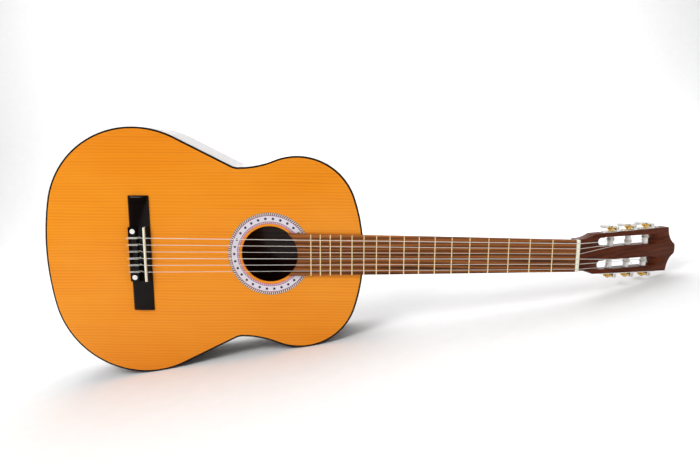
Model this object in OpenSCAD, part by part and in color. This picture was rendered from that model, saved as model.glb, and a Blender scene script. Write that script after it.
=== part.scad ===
// Classical guitar, stood on its treble-side ribs with the face to the front.
//
// Every module draws in the guitar's own axes: x runs along the neck from the nut (x = 0)
// towards the headstock, y points to the bass side and z out of the face, with z = 0 on the
// soundboard. stand() then turns the whole guitar so that both bouts touch the floor.

/* [Scale and strings] */
// Length of the open strings, nut to saddle
scale_length = 650; // [600:5:660]
// String spread at the nut, first to sixth
nut_spread = 40; // [36:0.5:42]
// String spread at the saddle
saddle_spread = 53; // [50:0.5:60]
// Height of the strings over the last-touched fret at fret 12
string_action = 3.2; // [2.5:0.1:4.5]

/* [Body] */
// Length of the body along its centre line
body_length = 494; // [488:0.5:500]
// Width of the lower bout
lower_bout = 388; // [384:0.5:390]
// Width at the waist
waist = 267.5; // [264:0.5:269]
// Width of the upper bout
upper_bout = 302; // [300:0.5:304]
// Depth at the tail
depth_tail = 97; // [90:0.5:105]
// Depth at the neck joint
depth_neck = 92; // [85:0.5:97]
// Thickness of the soundboard
top_t = 3; // [2.4:0.1:3.6]
// Thickness of the back
back_t = 4; // [2.4:0.1:4]
// Thickness of the ribs
rib_t = 3.3; // [2.6:0.1:4]
// Radius of the sound hole
hole_r = 43.8; // [41:0.1:45]

/* [Neck] */
// Width of the neck and fretboard at the nut
nut_width = 49.5; // [47:0.5:52]
// Width of the fretboard at the body joint
joint_width = 62; // [58:0.5:64]
// Thickness of the fretboard
board_t = 5.5; // [4.5:0.1:7]
// Number of frets
fret_count = 17; // [15:1:17]
// Angle of the headstock behind the neck
head_tilt = 19; // [14:0.5:20]
// Thickness of the headstock
head_t = 18; // [16:0.5:20]
// Width of the headstock at its end corners
head_end_width = 72.4; // [70:0.2:76]

/* [Tuning machines] */
// Distance between neighbouring rollers
roller_pitch = 35; // [35:0.5:36]
// Radius of the white roller barrels
barrel_r = 5; // [4.5:0.1:5]
// Teeth on a gear
gear_teeth = 14; // [14:1:14]
// Module of the gear teeth
gear_module = 0.75; // [0.75:0.01:0.75]
// Thickness of a gear
gear_t = 3.6; // [3:0.1:4]
// Radius of a button across its wide side
button_r = 7; // [6:0.1:7]

/* [Hidden] */
$fn = 48;
E = 1; // how far a cutting solid runs past the surface that it cuts
F = 0.01; // a sunk depth, so that stacked pieces of one solid join without a shared plane
FAR = 250; // past every side of the body, measured from the centre line

// ---- colours -------------------------------------------------------------------------
amber = [0.93, 0.58, 0.16];
rib_brown = [0.30, 0.13, 0.06];
inner_wood = [0.80, 0.62, 0.40];
neck_brown = [0.33, 0.13, 0.06];
rosewood = [0.27, 0.14, 0.09];
ivory = [0.93, 0.90, 0.80];
black = [0.05, 0.05, 0.05];
brass = [0.78, 0.62, 0.30];
steel = [0.75, 0.75, 0.77];
pearl = [0.93, 0.92, 0.90];
nylon = [0.86, 0.86, 0.84];

// ---- body outline: six arcs and one straight stretch, each tangent to the next ---------
joint_x = -scale_length / 2; // the body joins the neck at fret 12
tail_x = joint_x - body_length;
lower_x = tail_x + 144.5; // station of the widest point of the lower bout
waist_x = tail_x + 303; // station of the narrowest point of the waist
upper_x = tail_x + 392; // station of the widest point of the upper bout
r_lower = 139;
r_waist_tail = 25; // tight side of the waist, towards the tail
r_waist_neck = 145.5; // open side of the waist, towards the neck
// A bout arc and a waist arc that touch have their centres the sum of their radii apart.
upper_gap = (upper_bout - waist) / 2;
r_upper = (pow(upper_x - waist_x, 2) + pow(upper_gap, 2)) / (2 * upper_gap) - r_waist_neck;
c_lower = [lower_x, lower_bout / 2 - r_lower];
c_waist_tail = [waist_x, waist / 2 + r_waist_tail];
c_waist_neck = [waist_x, waist / 2 + r_waist_neck];
c_upper = [upper_x, upper_bout / 2 - r_upper];
// An end arc is centred on the axis and touches the bout arc from outside.
function end_radius(a, b, r) = (a * a + b * b - r * r) / (2 * (a - r));
r_tail = end_radius(lower_x - tail_x, c_lower[1], r_lower);
r_shoulder = end_radius(joint_x - upper_x, c_upper[1], r_upper);
c_tail = [tail_x + r_tail, 0];
c_shoulder = [joint_x - r_shoulder, 0];

function angle_of(v) = atan2(v[1], v[0]);
function arc(c, r, a0, a1, n) = [for (i = [0:n]) let (a = a0 + (a1 - a0) * i / n)
                                 c + r * [cos(a), sin(a)]];
a_tail = angle_of(c_lower - c_tail);
// The straight stretch leaves the lower bout where its normal points along a_line.
a_line = angle_of(c_waist_tail - c_lower)
         + acos((r_lower + r_waist_tail) / norm(c_waist_tail - c_lower));
a_waist = angle_of(c_upper - c_waist_neck);
a_shoulder = angle_of(c_upper - c_shoulder);

// Bass half of the outline, from the tail to the neck joint, moved in by d
function half_outline(d) = concat(
    arc(c_tail, r_tail - d, 180, a_tail, 8),
    arc(c_lower, r_lower - d, a_tail, a_line, 20),
    arc(c_waist_tail, r_waist_tail + d, a_line - 180, -90, 7),
    arc(c_waist_neck, r_waist_neck + d, -90, a_waist, 8),
    arc(c_upper, r_upper - d, a_waist + 180, a_shoulder, 16),
    arc(c_shoulder, r_shoulder - d, a_shoulder, 0, 8));
function mirrored(pts) = [for (i = [len(pts) - 1:-1:0]) [pts[i][0], -pts[i][1]]];
// Neighbouring arcs share their end points, so a point on top of the last one is left out.
function distinct(pts) = [for (i = [0:len(pts) - 1])
                          if (norm(pts[i] - pts[(i + 1) % len(pts)]) > 0.001) pts[i]];
function outline(d) = distinct(concat(half_outline(d), mirrored(half_outline(d))));

// ---- posture: both bouts touch the floor -----------------------------------------------
lean = atan2(c_lower[1] - c_upper[1], upper_x - lower_x)
       + asin((r_lower - r_upper) / norm([upper_x - lower_x, c_lower[1] - c_upper[1]]));
floor_z = -lower_x * sin(lean) - c_lower[1] * cos(lean) - r_lower;
head_length = 194.5; // from the nut's back edge to the tip of the crown
nut_len = 5.5;
tip_x = nut_len + head_length * cos(head_tilt);
x_min = c_tail[0] * cos(lean) - r_tail;
x_max = tip_x * cos(lean);
module stand() {
    translate([-(x_min + x_max) / 2, -(depth_tail - saddle_z) / 2, -floor_z])
        rotate([0, lean, 0]) rotate([90, 0, 0]) children();
}

// ---- strings and bridge ----------------------------------------------------------------
fret_h = 1; // crown height
string_r = [0.36, 0.41, 0.51, 0.37, 0.45, 0.55]; // first to sixth
saddle_x = -scale_length - 11; // the saddle sits back to keep the strings in tune
nut_bottom = board_t + fret_h + 0.4; // underside of the strings at the nut
string_slope = (board_t + fret_h + string_action - nut_bottom) / -joint_x;
saddle_bottom = nut_bottom - string_slope * saddle_x;
saddle_z = saddle_bottom + 2 * string_r[5];
bridge_front = -654.3;
bridge_back = -686;
bridge_len = 181;
tie_len = 85; // length of the saddle and of the tie block
tie_x = bridge_back + 14; // front face of the tie block
tie_h = 9.5;
wing_h = 5;
tie_hole_z = 5;
bolt_y = 36;
bolt_x = bridge_back + 7;
function nut_y(i) = (i - 3.5) * nut_spread / 5; // i = 1 for the first string
function saddle_y(i) = (i - 3.5) * saddle_spread / 5;

// ---- headstock and tuning machines -------------------------------------------------------
flare_s = 30; // station where the headstock reaches its shoulder width
flare_half = 31.5;
corner_s = 178;
slot_from = 42;
slot_to = 152;
slot_in = 10.5; // nearest edge of a slot to the centre line
slot_out = 26;
first_roller = 68;
side_angle = atan((head_end_width / 2 - flare_half) / (corner_s - flare_s));
function head_half(s) = flare_half + (s - flare_s) * tan(side_angle);
plate_t = 1.2;
plate_half = 57;
plate_h = 15;
worm_gap = 8; // from the gear's axis to the worm's, towards the tip of the headstock
gear_y = plate_t + 4.2; // the gear's middle plane, out from the side of the headstock
barrel_len = 27.5;
spindle_r = 2.5;
journal_r = 1.5;
run = 0.08; // radial running clearance
lug_z = 6.2;
lug_t = 1.2;
lug_r = 3.2;
screw_a = [-54, -15.5, 19.5, 54]; // fixing screws along a plate
// Strings 1 to 3 wind on the treble side and 4 to 6 on the bass side; the outer strings go to
// the rollers nearest the nut.
function side_of(i) = i > 3 ? 1 : -1;
function station_of(i) = i > 3 ? 6 - i : i - 1;
roller_y = [23, 15, 16, 20, 15, 18.5]; // where each string meets its roller, off the axis

module head_frame() {
    translate([nut_len, 0, 0]) rotate([0, head_tilt, 0]) children();
}
// Frame of one side of the headstock: x along the side towards the tip, y outwards, z out of
// the headstock's face; the origin lies on the middle of the side at station s.
module side_frame(side, s) {
    head_frame() mirror([0, side > 0 ? 0 : 1, 0])
        translate([s, head_half(s), -head_t / 2]) rotate([0, 0, side_angle]) children();
}
module tuner(i) {
    side_frame(side_of(i), first_roller + station_of(i) * roller_pitch) children();
}

// ---- small helpers -----------------------------------------------------------------------
module prism(d, z0, z1) {
    translate([0, 0, z0]) linear_extrude(z1 - z0) polygon(outline(d));
}
module ring(d0, d1, z0, z1) {
    difference() {
        prism(d0, z0, z1);
        prism(d1, z0 - E, z1 + E);
    }
}
// Everything between two planes that lie t0 and t1 in from the outer face of the back
module back_slab(t0, t1) {
    translate([tail_x, 0, -depth_tail])
        rotate([0, -atan((depth_tail - depth_neck) / body_length), 0])
            translate([-FAR, -FAR, t0]) cube([body_length + 2 * FAR, 2 * FAR, t1 - t0]);
}
module box(x0, x1, y0, y1, z0, z1) {
    translate([x0, y0, z0]) cube([x1 - x0, y1 - y0, z1 - z0]);
}
// A closed solid through rings of points, each ring with the same number of points, listed
// counter-clockwise as seen from the far end
module skin(rings) {
    n = len(rings[0]);
    last = len(rings) - 1;
    polyhedron(
        points = [for (ring = rings, p = ring) p],
        faces = concat(
            [[for (i = [0:n - 1]) i]],
            [for (k = [0:last - 1], i = [0:n - 1], half = [0, 1]) let (
                a = k * n + i, b = k * n + (i + 1) % n)
                half == 0 ? [a, a + n, b + n] : [a, b + n, b]],
            [[for (i = [n - 1:-1:0]) last * n + i]]));
}
function bezier(a, b, c, n) = [for (i = [1:n]) let (t = i / n)
                               (1 - t) * (1 - t) * a + 2 * t * (1 - t) * b + t * t * c];

// ---- body --------------------------------------------------------------------------------
binding_w = 2.2;
binding_h = 6;
lining_w = 5.5;
lining_h = 12;
hole_x = -470.5;
rosette_in = 47.5;
rosette_out = 64.8;
rosette_t = 0.9;
bolt_r = 2;
tenon_len = 18;
tenon_half = 11;
tenon_depth = 75;
tenon_root = 3; // how far the tenon runs into the heel
neck_block_len = 32;
neck_block_half = 42;
tail_block_len = 28;
tail_block_half = 48;
bar_h = 15; // height of a bar under the soundboard
back_brace_h = 12;
fan_from = -575; // station where the fan struts start
fan_pitch = 18;
fan_angle = 4; // between neighbouring struts
fan_len = 205;
fan_w = 6;
fan_h = 6;

module soundboard() {
    color(amber) difference() {
        prism(binding_w, -top_t, 0);
        translate([hole_x, 0, -top_t - E]) cylinder(r = hole_r, h = top_t + 2 * E);
        rosette_ring(-rosette_t, E);
        for (side = [-1, 1])
            translate([bolt_x, side * bolt_y, -top_t - E]) cylinder(r = bolt_r, h = top_t + 2 * E);
    }
}
module rosette_ring(z0, z1) {
    translate([hole_x, 0, z0]) difference() {
        cylinder(r = rosette_out, h = z1 - z0);
        translate([0, 0, -E]) cylinder(r = rosette_in, h = z1 - z0 + 2 * E);
    }
}
module rosette() {
    color(pearl) rosette_ring(-rosette_t, 0);
}
module back_plate() {
    color(rib_brown) intersection() {
        prism(binding_w, -FAR, -top_t);
        back_slab(0, back_t);
    }
}
module top_binding() {
    color(black) ring(0, binding_w, -binding_h, 0);
}
module back_binding() {
    color(black) intersection() {
        ring(0, binding_w, -FAR, -top_t);
        back_slab(0, binding_h);
    }
}
module tenon() {
    box(joint_x - tenon_len, joint_x + tenon_root, -tenon_half, tenon_half, -tenon_depth, -binding_h);
}
// One bent side, from the tail seam to the neck joint, with rabbets for both bindings
module rib(side) {
    color(rib_brown) difference() {
        intersection() {
            ring(0, rib_t, -depth_tail - E, -top_t);
            box(tail_x - E, joint_x + E, side > 0 ? 0 : -FAR, side > 0 ? FAR : 0, -depth_tail - E, 0);
            back_slab(back_t, FAR);
        }
        top_binding();
        back_binding();
        tenon();
    }
}
module rib_bass() {
    rib(1);
}
module rib_treble() {
    rib(-1);
}
module block_space() {
    box(joint_x - neck_block_len, joint_x + E, -neck_block_half, neck_block_half, -FAR, -top_t);
    box(tail_x - E, tail_x + tail_block_len, -tail_block_half, tail_block_half, -FAR, -top_t);
}
module top_linings() {
    color(inner_wood) difference() {
        ring(rib_t, rib_t + lining_w, -top_t - lining_h, -top_t);
        block_space();
    }
}
module back_linings() {
    color(inner_wood) difference() {
        intersection() {
            ring(rib_t, rib_t + lining_w, -depth_tail, -top_t);
            back_slab(back_t, back_t + lining_h);
        }
        block_space();
    }
}
// The neck block and the tail block fill the body's depth where the ribs end.
module neck_block() {
    color(inner_wood) difference() {
        whole_blocks();
        tenon();
        box(tail_x - E, waist_x, -FAR, FAR, -FAR, E);
    }
}
module tail_block() {
    color(inner_wood) difference() {
        whole_blocks();
        box(waist_x, joint_x + E, -FAR, FAR, -FAR, E);
    }
}
module whole_blocks() {
    intersection() {
        prism(rib_t, -depth_tail, -top_t);
        block_space();
        back_slab(back_t, FAR);
    }
}
// Five struts that fan out under the bridge
module fan_braces() {
    color(inner_wood) for (k = [-2:2])
        translate([fan_from, fan_pitch * k, -top_t]) rotate([0, 0, 180 - fan_angle * k])
            translate([0, -fan_w / 2, -fan_h]) cube([fan_len, fan_w, fan_h]);
}
// A bar from rib to rib across the body, round station x, that fills the height between z0 and z1
module cross_bar(x, width, z0, z1) {
    intersection() {
        prism(rib_t + lining_w, z0, z1);
        box(x - width / 2, x + width / 2, -FAR, FAR, z0, z1);
    }
}
// Two tall bars across the soundboard, one on each side of the sound hole
module harmonic_bars() {
    color(inner_wood) for (x = [-403, -540]) cross_bar(x, 6, -top_t - bar_h, -top_t);
}
module back_braces() {
    color(inner_wood) for (x = [-425, -565, -705]) intersection() {
        cross_bar(x, 8, -depth_tail, -top_t);
        back_slab(back_t, back_t + back_brace_h);
    }
}

// ---- neck --------------------------------------------------------------------------------
shaft_nut = 15; // depth of the neck under the fretboard, at the nut
shaft_heel = 17.5; // the same where the heel starts
heel_from = -262;
heel_foot = 12; // length of the heel at its cap
cap_t = 3;
heel_inset = 0.6; // from the fretboard's edge in to the heel's, where the heel starts
function board_half(x) = nut_width / 2 + (joint_width - nut_width) / 2 * x / joint_x;

// Cross-section of the neck: straight edges under the fretboard and a rounded back, whose
// corners are round at corner = 1 and nearly square at 0.3
edge_h = 3;
function power(v, e) = sign(v) * pow(abs(v), e);
function section(half, depth, corner) = concat(
    [[-half, 0], [-half, -edge_h]],
    [for (a = [190:10:350])
     [half * power(cos(a), corner), -edge_h + (depth - edge_h) * power(sin(a), corner)]],
    [[half, -edge_h], [half, 0]]);
function neck_ring(x, depth) = [for (p = section(board_half(x), depth, 1)) [x, p[0], p[1]]];
// A point of the headstock's own frame, in the guitar's
function from_head(p) = [nut_len + p[0] * cos(head_tilt) + p[2] * sin(head_tilt), p[1],
                         p[2] * cos(head_tilt) - p[0] * sin(head_tilt)];
function head_ring(s, z) = [for (p = section(nut_width / 2 - 0.1, head_t - 0.2, 0.3))
                            from_head([s, p[0], p[1] + z])];
// The shaft ends in a squarer root that runs into the headstock.
module shaft() {
    root = 0.3;
    skin([neck_ring(heel_from - 30, shaft_heel), neck_ring(-8, shaft_nut),
          head_ring(-root, -root * tan(head_tilt)), head_ring(4, -0.1)]);
}
// Side view of the heel, a hollow curve from the shaft down to the cap
module heel_side(bottom) {
    cap_x = joint_x + heel_foot;
    rotate([90, 0, 0]) translate([0, 0, -40]) linear_extrude(80)
        polygon(concat([[joint_x - 10, 0], [joint_x - 10, -bottom], [cap_x, -bottom]],
                       bezier([cap_x, -bottom], [cap_x + 4, -shaft_heel - 4],
                              [heel_from, -shaft_heel + 1], 14),
                       [[heel_from, 0]]));
}
// Front view of the heel, a little inside the fretboard's edges at the top and narrow at the cap
module heel_front(bottom) {
    top_half = board_half(heel_from) - heel_inset;
    rotate([90, 0, 90]) translate([0, 0, joint_x - 20]) linear_extrude(100)
        polygon(concat([[top_half, 0]],
                       bezier([top_half, -3], [15, -shaft_heel - 8], [13, -bottom], 14),
                       mirrored_y(bezier([top_half, -3], [15, -shaft_heel - 8], [13, -bottom], 14)),
                       [[-top_half, 0]]));
}
function mirrored_y(pts) = [for (i = [len(pts) - 1:-1:0]) [-pts[i][0], pts[i][1]]];
// The whole heel down to the level of the back, with its end shaped to the ribs
module heel() {
    difference() {
        intersection() {
            heel_side(depth_neck);
            heel_front(depth_neck);
        }
        prism(0, -depth_tail, E);
    }
}
module cap_space() {
    box(joint_x - 20, 0, -40, 40, -depth_neck - E, cap_t - depth_neck);
}
function head_half_outline() = concat(
    [[0, nut_width / 2]],
    bezier([0, nut_width / 2], [17, nut_width / 2 - 0.5], [flare_s, flare_half], 6),
    [[corner_s, head_end_width / 2]],
    bezier([corner_s, head_end_width / 2], [corner_s + 2, 17], [corner_s + 13, 9.6], 8),
    bezier([corner_s + 14.4, 9], [head_length, 7], [head_length, 0], 5));
module slot(side) {
    mid = side * (slot_in + slot_out) / 2;
    r = (slot_out - slot_in) / 2;
    translate([0, 0, -head_t - E]) linear_extrude(head_t + 2 * E)
        polygon(concat(arc([slot_from + r, mid], r, 90, 270, 10),
                       arc([slot_to - r, mid], r, -90, 90, 10)));
}
module head_slab() {
    difference() {
        translate([0, 0, -head_t]) linear_extrude(head_t)
            polygon(concat(head_half_outline(), mirrored(head_half_outline())));
        slot(1);
        slot(-1);
    }
}
module neck() {
    color(neck_brown) difference() {
        union() {
            shaft();
            difference() {
                heel();
                cap_space();
            }
            tenon();
            head_frame() head_slab();
        }
        for (i = [1:6]) tuner(i) rotate([90, 0, 0])
            translate([0, 0, -E]) cylinder(r = barrel_r + run, h = barrel_len + 0.5 + E);
        for (side = [-1, 1]) screw_places(side)
            translate([0, 0, -screw_len]) cylinder(r = screw_r, h = screw_len + plate_t);
    }
}
module heel_cap() {
    color(black) intersection() {
        heel();
        cap_space();
    }
}
// Fretboard, with a sawn slot for each fret and its end cut along the sound hole
board_end = hole_x + 28; // past the points where the board's sides meet the edge of the hole
tang_w = 0.6;
tang_h = 2;
function fret_x(n) = -scale_length * (1 - pow(2, -n / 12));
module fretboard() {
    color(rosewood) difference() {
        linear_extrude(board_t) polygon([[0, board_half(0)], [board_end, board_half(board_end)],
                                         [board_end, -board_half(board_end)], [0, -board_half(0)]]);
        translate([hole_x, 0, -E]) cylinder(r = hole_r, h = board_t + 2 * E);
        for (n = [1:fret_count])
            box(fret_x(n) - tang_w / 2, fret_x(n) + tang_w / 2, -40, 40, board_t - tang_h, board_t + E);
    }
}
// One fret wire: a rounded crown on the board and a tang in the slot
module fret(x) {
    half = board_half(x) - 0.2;
    translate([x, half, board_t]) rotate([90, 0, 0]) linear_extrude(2 * half)
        polygon(concat([[tang_w / 2, -tang_h], [tang_w / 2, 0]],
                       [for (a = [0:20:180]) [1.1 * cos(a), fret_h * sin(a)]],
                       [[-tang_w / 2, 0], [-tang_w / 2, -tang_h]]));
}
module frets() {
    color(brass) for (n = [1:fret_count]) fret(fret_x(n));
}
module nut() {
    color(ivory) difference() {
        box(0, nut_len, -nut_width / 2, nut_width / 2, 0, nut_bottom + 1.4);
        for (i = [1:6]) {
            r = string_r[i - 1] + 0.04;
            translate([-E, nut_y(i), nut_bottom + string_r[i - 1]]) rotate([0, 90, 0])
                cylinder(r = r, h = nut_len + 2 * E);
            box(-E, nut_len + E, nut_y(i) - r, nut_y(i) + r, nut_bottom + string_r[i - 1], nut_bottom + 3);
        }
    }
}

// ---- bridge ------------------------------------------------------------------------------
saddle_t = 2.8;
slot_floor = 3.5;
saddle_block_h = 8.5;
dot_r = 4;
dot_t = 1.7;
head_r = 3.4; // head of a bridge bolt
tie_hole_r = 0.9;
// Cross-section of the wings, crowned along the middle
module wing_section() {
    mid = (bridge_front + bridge_back) / 2;
    half = (bridge_front - bridge_back) / 2;
    polygon(concat([[bridge_back, 0]],
                   [for (a = [-1:0.125:1]) [mid + a * half, wing_h - 2 * a * a]],
                   [[bridge_front, 0]]));
}
module across(len) {
    translate([0, len / 2, 0]) rotate([90, 0, 0]) linear_extrude(len) children();
}
module bridge() {
    color(black) difference() {
        union() {
            across(bridge_len) wing_section();
            across(tie_len) polygon([[bridge_back, 0], [bridge_back, tie_h], [tie_x, tie_h],
                                     [tie_x, slot_floor], [saddle_x - 3.5, slot_floor],
                                     [saddle_x - 3.5, saddle_block_h], [saddle_x + 3, saddle_block_h],
                                     [bridge_front, wing_h - 1], [bridge_front, 0]]);
        }
        box(tie_x, saddle_x - 3.5, -tie_len / 2, tie_len / 2, slot_floor, 20);
        box(saddle_x - saddle_t / 2, saddle_x + saddle_t / 2, -tie_len / 2 - E, tie_len / 2 + E,
            slot_floor, 20);
        for (i = [1:6]) translate([bridge_back - E, saddle_y(i), tie_hole_z]) rotate([0, 90, 0])
            cylinder(r = tie_hole_r, h = 14 + 2 * E);
        for (side = [-1, 1]) translate([bolt_x, side * bolt_y, 0]) {
            translate([0, 0, -E]) cylinder(r = bolt_r, h = 20);
            translate([0, 0, tie_h - 3]) cylinder(r = head_r, h = 20);
            translate([0, 0, tie_h - 1.5]) cylinder(r = dot_r, h = 20);
        }
    }
}
module saddle() {
    color(ivory) box(saddle_x - saddle_t / 2, saddle_x + saddle_t / 2, -tie_len / 2, tie_len / 2,
                     slot_floor, saddle_bottom - 0.02);
}
module both_bolts() {
    for (side = [-1, 1]) translate([bolt_x, side * bolt_y, 0]) children();
}
module bridge_dots() {
    color(pearl) both_bolts() translate([0, 0, tie_h - 1.5]) cylinder(r = dot_r, h = dot_t);
}
module bridge_bolts() {
    color(steel) both_bolts() {
        translate([0, 0, -9]) cylinder(r = bolt_r, h = tie_h - 3 + 9 + F);
        translate([0, 0, tie_h - 3]) cylinder(r = head_r, h = 1.5);
    }
}
module bridge_nuts() {
    color(steel) both_bolts() difference() {
        union() {
            translate([0, 0, -top_t - 0.8]) cylinder(r = 5, h = 0.8);
            translate([0, 0, -top_t - 3.4]) cylinder(r = 4, h = 2.6 + F, $fn = 6);
        }
        translate([0, 0, -10]) cylinder(r = bolt_r, h = 10);
    }
}

// ---- strings -----------------------------------------------------------------------------
// Where string i first touches its roller: the tangent over the top of the barrel, in the
// headstock's own s and height
function roller_touch(i) = let (
    side = side_of(i),
    r = string_r[i - 1],
    s0 = first_roller + station_of(i) * roller_pitch,
    z0 = nut_bottom + r,
    from = [-z0 * sin(head_tilt), z0 * cos(head_tilt)],
    centre = [s0 + (head_half(s0) - roller_y[i - 1]) * tan(side_angle), -head_t / 2],
    reach = barrel_r + r + 0.1,
    d = centre - from,
    a = angle_of(d) + asin(reach / norm(d)),
    p = from + sqrt(d * d - reach * reach) * [cos(a), sin(a)])
    from_head([p[0], side * roller_y[i - 1], p[1]]);
// A string runs from its hole in the tie block, over the saddle and the nut, to its roller.
function string_path(i) = let (r = string_r[i - 1]) [
    [bridge_back - 1.2, saddle_y(i), tie_hole_z],
    [tie_x + 0.7, saddle_y(i), tie_hole_z],
    [saddle_x - saddle_t / 2 - 0.3, saddle_y(i), saddle_bottom + r],
    [0, nut_y(i), nut_bottom + r],
    [nut_len, nut_y(i), nut_bottom + r],
    roller_touch(i)];
string_sides = 10;
function unit(v) = v / norm(v);
// The cross-section at point k of a path lies across the mean of the two runs that meet there.
function string_ring(path, k, r) = let (
    before = unit(path[max(k, 1)] - path[max(k, 1) - 1]),
    after = unit(path[min(k, len(path) - 2) + 1] - path[min(k, len(path) - 2)]),
    t = unit(before + after),
    side = unit(cross([0, 0, 1], t)),
    up = cross(t, side))
    [for (a = [0:360 / string_sides:359]) path[k] + r * (cos(a) * side + sin(a) * up)];
module guitar_string(i) {
    path = string_path(i);
    color(nylon) skin([for (k = [0:len(path) - 1]) string_ring(path, k, string_r[i - 1])]);
}

// ---- tuning machines ---------------------------------------------------------------------
screw_r = 1.2;
screw_len = 4.5;
module screw_places(side) {
    side_frame(side, first_roller + roller_pitch) for (a = screw_a)
        translate([a, 0, 0]) rotate([-90, 0, 0]) children();
}
module lug(z) {
    translate([worm_gap, gear_y, z]) cylinder(r = lug_r, h = lug_t);
    box(worm_gap - lug_r, worm_gap + lug_r, plate_t / 2, gear_y, z, z + lug_t);
}
// One plate carries three machines; its bent lugs hold the worm shafts.
module tuner_plate(side) {
    color(steel) difference() {
        side_frame(side, first_roller + roller_pitch) difference() {
            union() {
                box(-plate_half, plate_half, 0, plate_t, -plate_h / 2, plate_h / 2);
                for (k = [-1:1], z = [lug_z, -lug_z - lug_t])
                    translate([k * roller_pitch, 0, 0]) lug(z);
            }
            for (k = [-1:1]) translate([k * roller_pitch, 0, 0]) {
                translate([worm_gap, gear_y, -20]) cylinder(r = journal_r + run, h = 40);
                rotate([-90, 0, 0]) translate([0, 0, -E]) cylinder(r = spindle_r + run, h = plate_t + 2 * E);
            }
        }
        screw_places(side) translate([0, 0, -E]) cylinder(r = screw_r, h = plate_t + 2 * E);
    }
}
module plate_screws() {
    color(steel) for (side = [-1, 1]) screw_places(side) {
        translate([0, 0, -screw_len]) cylinder(r = screw_r, h = screw_len + plate_t + F);
        translate([0, 0, plate_t]) intersection() {
            translate([0, 0, -1.6]) sphere(r = 3.2);
            cylinder(r = 2.7, h = 4);
        }
    }
}
module roller(i) {
    color(pearl) tuner(i) rotate([90, 0, 0]) translate([0, 0, 0.3]) difference() {
        cylinder(r = barrel_r, h = barrel_len - 0.3);
        translate([0, 0, -E]) cylinder(r = spindle_r, h = barrel_len + 2 * E);
    }
}
// Worm and gear share the pitch p; their teeth are cut thinner than half of it, for backlash.
thread_pitch = PI * gear_module;
gear_pitch_r = gear_teeth * gear_module / 2;
worm_pitch_r = worm_gap - gear_pitch_r;
worm_tip_r = worm_pitch_r + 0.65;
worm_root_r = worm_pitch_r - 0.95;
tooth_half = thread_pitch / 4 - 0.1; // half the thickness of a tooth on the pitch line
flank = tan(20);
lead = atan(thread_pitch / (2 * PI * worm_pitch_r));
gear_tip_r = gear_pitch_r + 0.75;
gear_root_r = gear_pitch_r - 0.95;
function polar(r, a) = r * [cos(a), sin(a)];
// One gap faces the worm, along x.
function gear_outline() = [for (k = [0:gear_teeth - 1], side = [-1, 1], up = [side, -side]) let (
    r = up < 0 ? gear_root_r : gear_tip_r,
    half = tooth_half - (r - gear_pitch_r) * flank)
    polar(r, (k + 0.5) * 360 / gear_teeth + side * half / r * 180 / PI)];
module gear(i) {
    twist = tan(lead) / gear_pitch_r * gear_t * 180 / PI;
    color(brass) tuner(i) rotate([-90, 0, 0]) {
        translate([0, 0, gear_y - gear_t / 2]) rotate([0, 0, -twist / 2])
            linear_extrude(gear_t, twist = -twist, slices = 2) polygon(gear_outline());
        translate([0, 0, -barrel_len]) cylinder(r = spindle_r, h = barrel_len + 1.5);
        translate([0, 0, 1.5]) cylinder(r = 3.8, h = gear_y - gear_t / 2 - 1.5 + F);
        translate([0, 0, gear_y + gear_t / 2 - F]) intersection() {
            translate([0, 0, -2.2]) sphere(r = 4);
            cylinder(r = 3.2, h = 4);
        }
    }
}
// Cross-section of the worm: one ridge, whose radius falls with the distance along the thread
worm_a = [-127, -90, -62, -39, 0, 39, 62, 90, 127, 180];
function worm_radius(a) = let (along = abs(a) / 360 * thread_pitch)
    min(worm_tip_r, max(worm_root_r, worm_pitch_r + (tooth_half - along) / flank));
thread_len = 9;
thread_steps = 48;
module worm_thread() {
    skin([for (k = [0:thread_steps]) let (z = thread_len * (k / thread_steps - 0.5))
          [for (a = worm_a) let (p = polar(worm_radius(a), a + 360 * z / thread_pitch))
           [p[0], p[1], z]]]);
}
shaft_top = 8.2;
shaft_end = -20;
module worm(i) {
    color(steel) tuner(i) translate([worm_gap, gear_y, 0]) rotate([0, 0, 180]) {
        worm_thread();
        translate([0, 0, shaft_end]) cylinder(r = journal_r, h = -shaft_end - thread_len / 2);
        translate([0, 0, thread_len / 2]) cylinder(r = journal_r, h = shaft_top - thread_len / 2);
        for (z = [-lug_z + run, thread_len / 2])
            translate([0, 0, z]) cylinder(r = 2.3, h = lug_z - run - thread_len / 2);
    }
}
button_z = -22.5; // centre of a button on its shaft
module button(i) {
    color(pearl) tuner(i) translate([worm_gap, gear_y, 0]) difference() {
        union() {
            translate([0, 0, button_z]) rotate([-90, 0, 0]) rotate_extrude()
                polygon(concat([[0, -3.8]], arc([button_r - 2.5, -1.3], 2.5, -90, 0, 6),
                               arc([button_r - 2.5, 1.3], 2.5, 0, 90, 6), [[0, 3.8]]));
            translate([0, 0, button_z + 4]) cylinder(r = 2.8, h = 6);
        }
        translate([0, 0, shaft_end]) cylinder(r = journal_r, h = 20);
    }
}

// ---- what is drawn -----------------------------------------------------------------------
stand() soundboard();
stand() back_plate();
stand() rib_bass();
stand() rib_treble();
stand() top_linings();
stand() back_linings();
stand() neck_block();
stand() tail_block();
stand() fan_braces();
stand() harmonic_bars();
stand() back_braces();
stand() rosette();
stand() top_binding();
stand() back_binding();
stand() neck();
stand() fretboard();
stand() frets();
stand() nut();
stand() heel_cap();
stand() bridge();
stand() saddle();
stand() bridge_dots();
stand() bridge_bolts();
stand() bridge_nuts();
stand() guitar_string(1);  // string_1
stand() guitar_string(2);  // string_2
stand() guitar_string(3);  // string_3
stand() guitar_string(4);  // string_4
stand() guitar_string(5);  // string_5
stand() guitar_string(6);  // string_6
stand() tuner_plate(1);  // tuner_plate_bass
stand() tuner_plate(-1);  // tuner_plate_treble
stand() plate_screws();
stand() roller(1);  // roller_1
stand() roller(2);  // roller_2
stand() roller(3);  // roller_3
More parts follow.
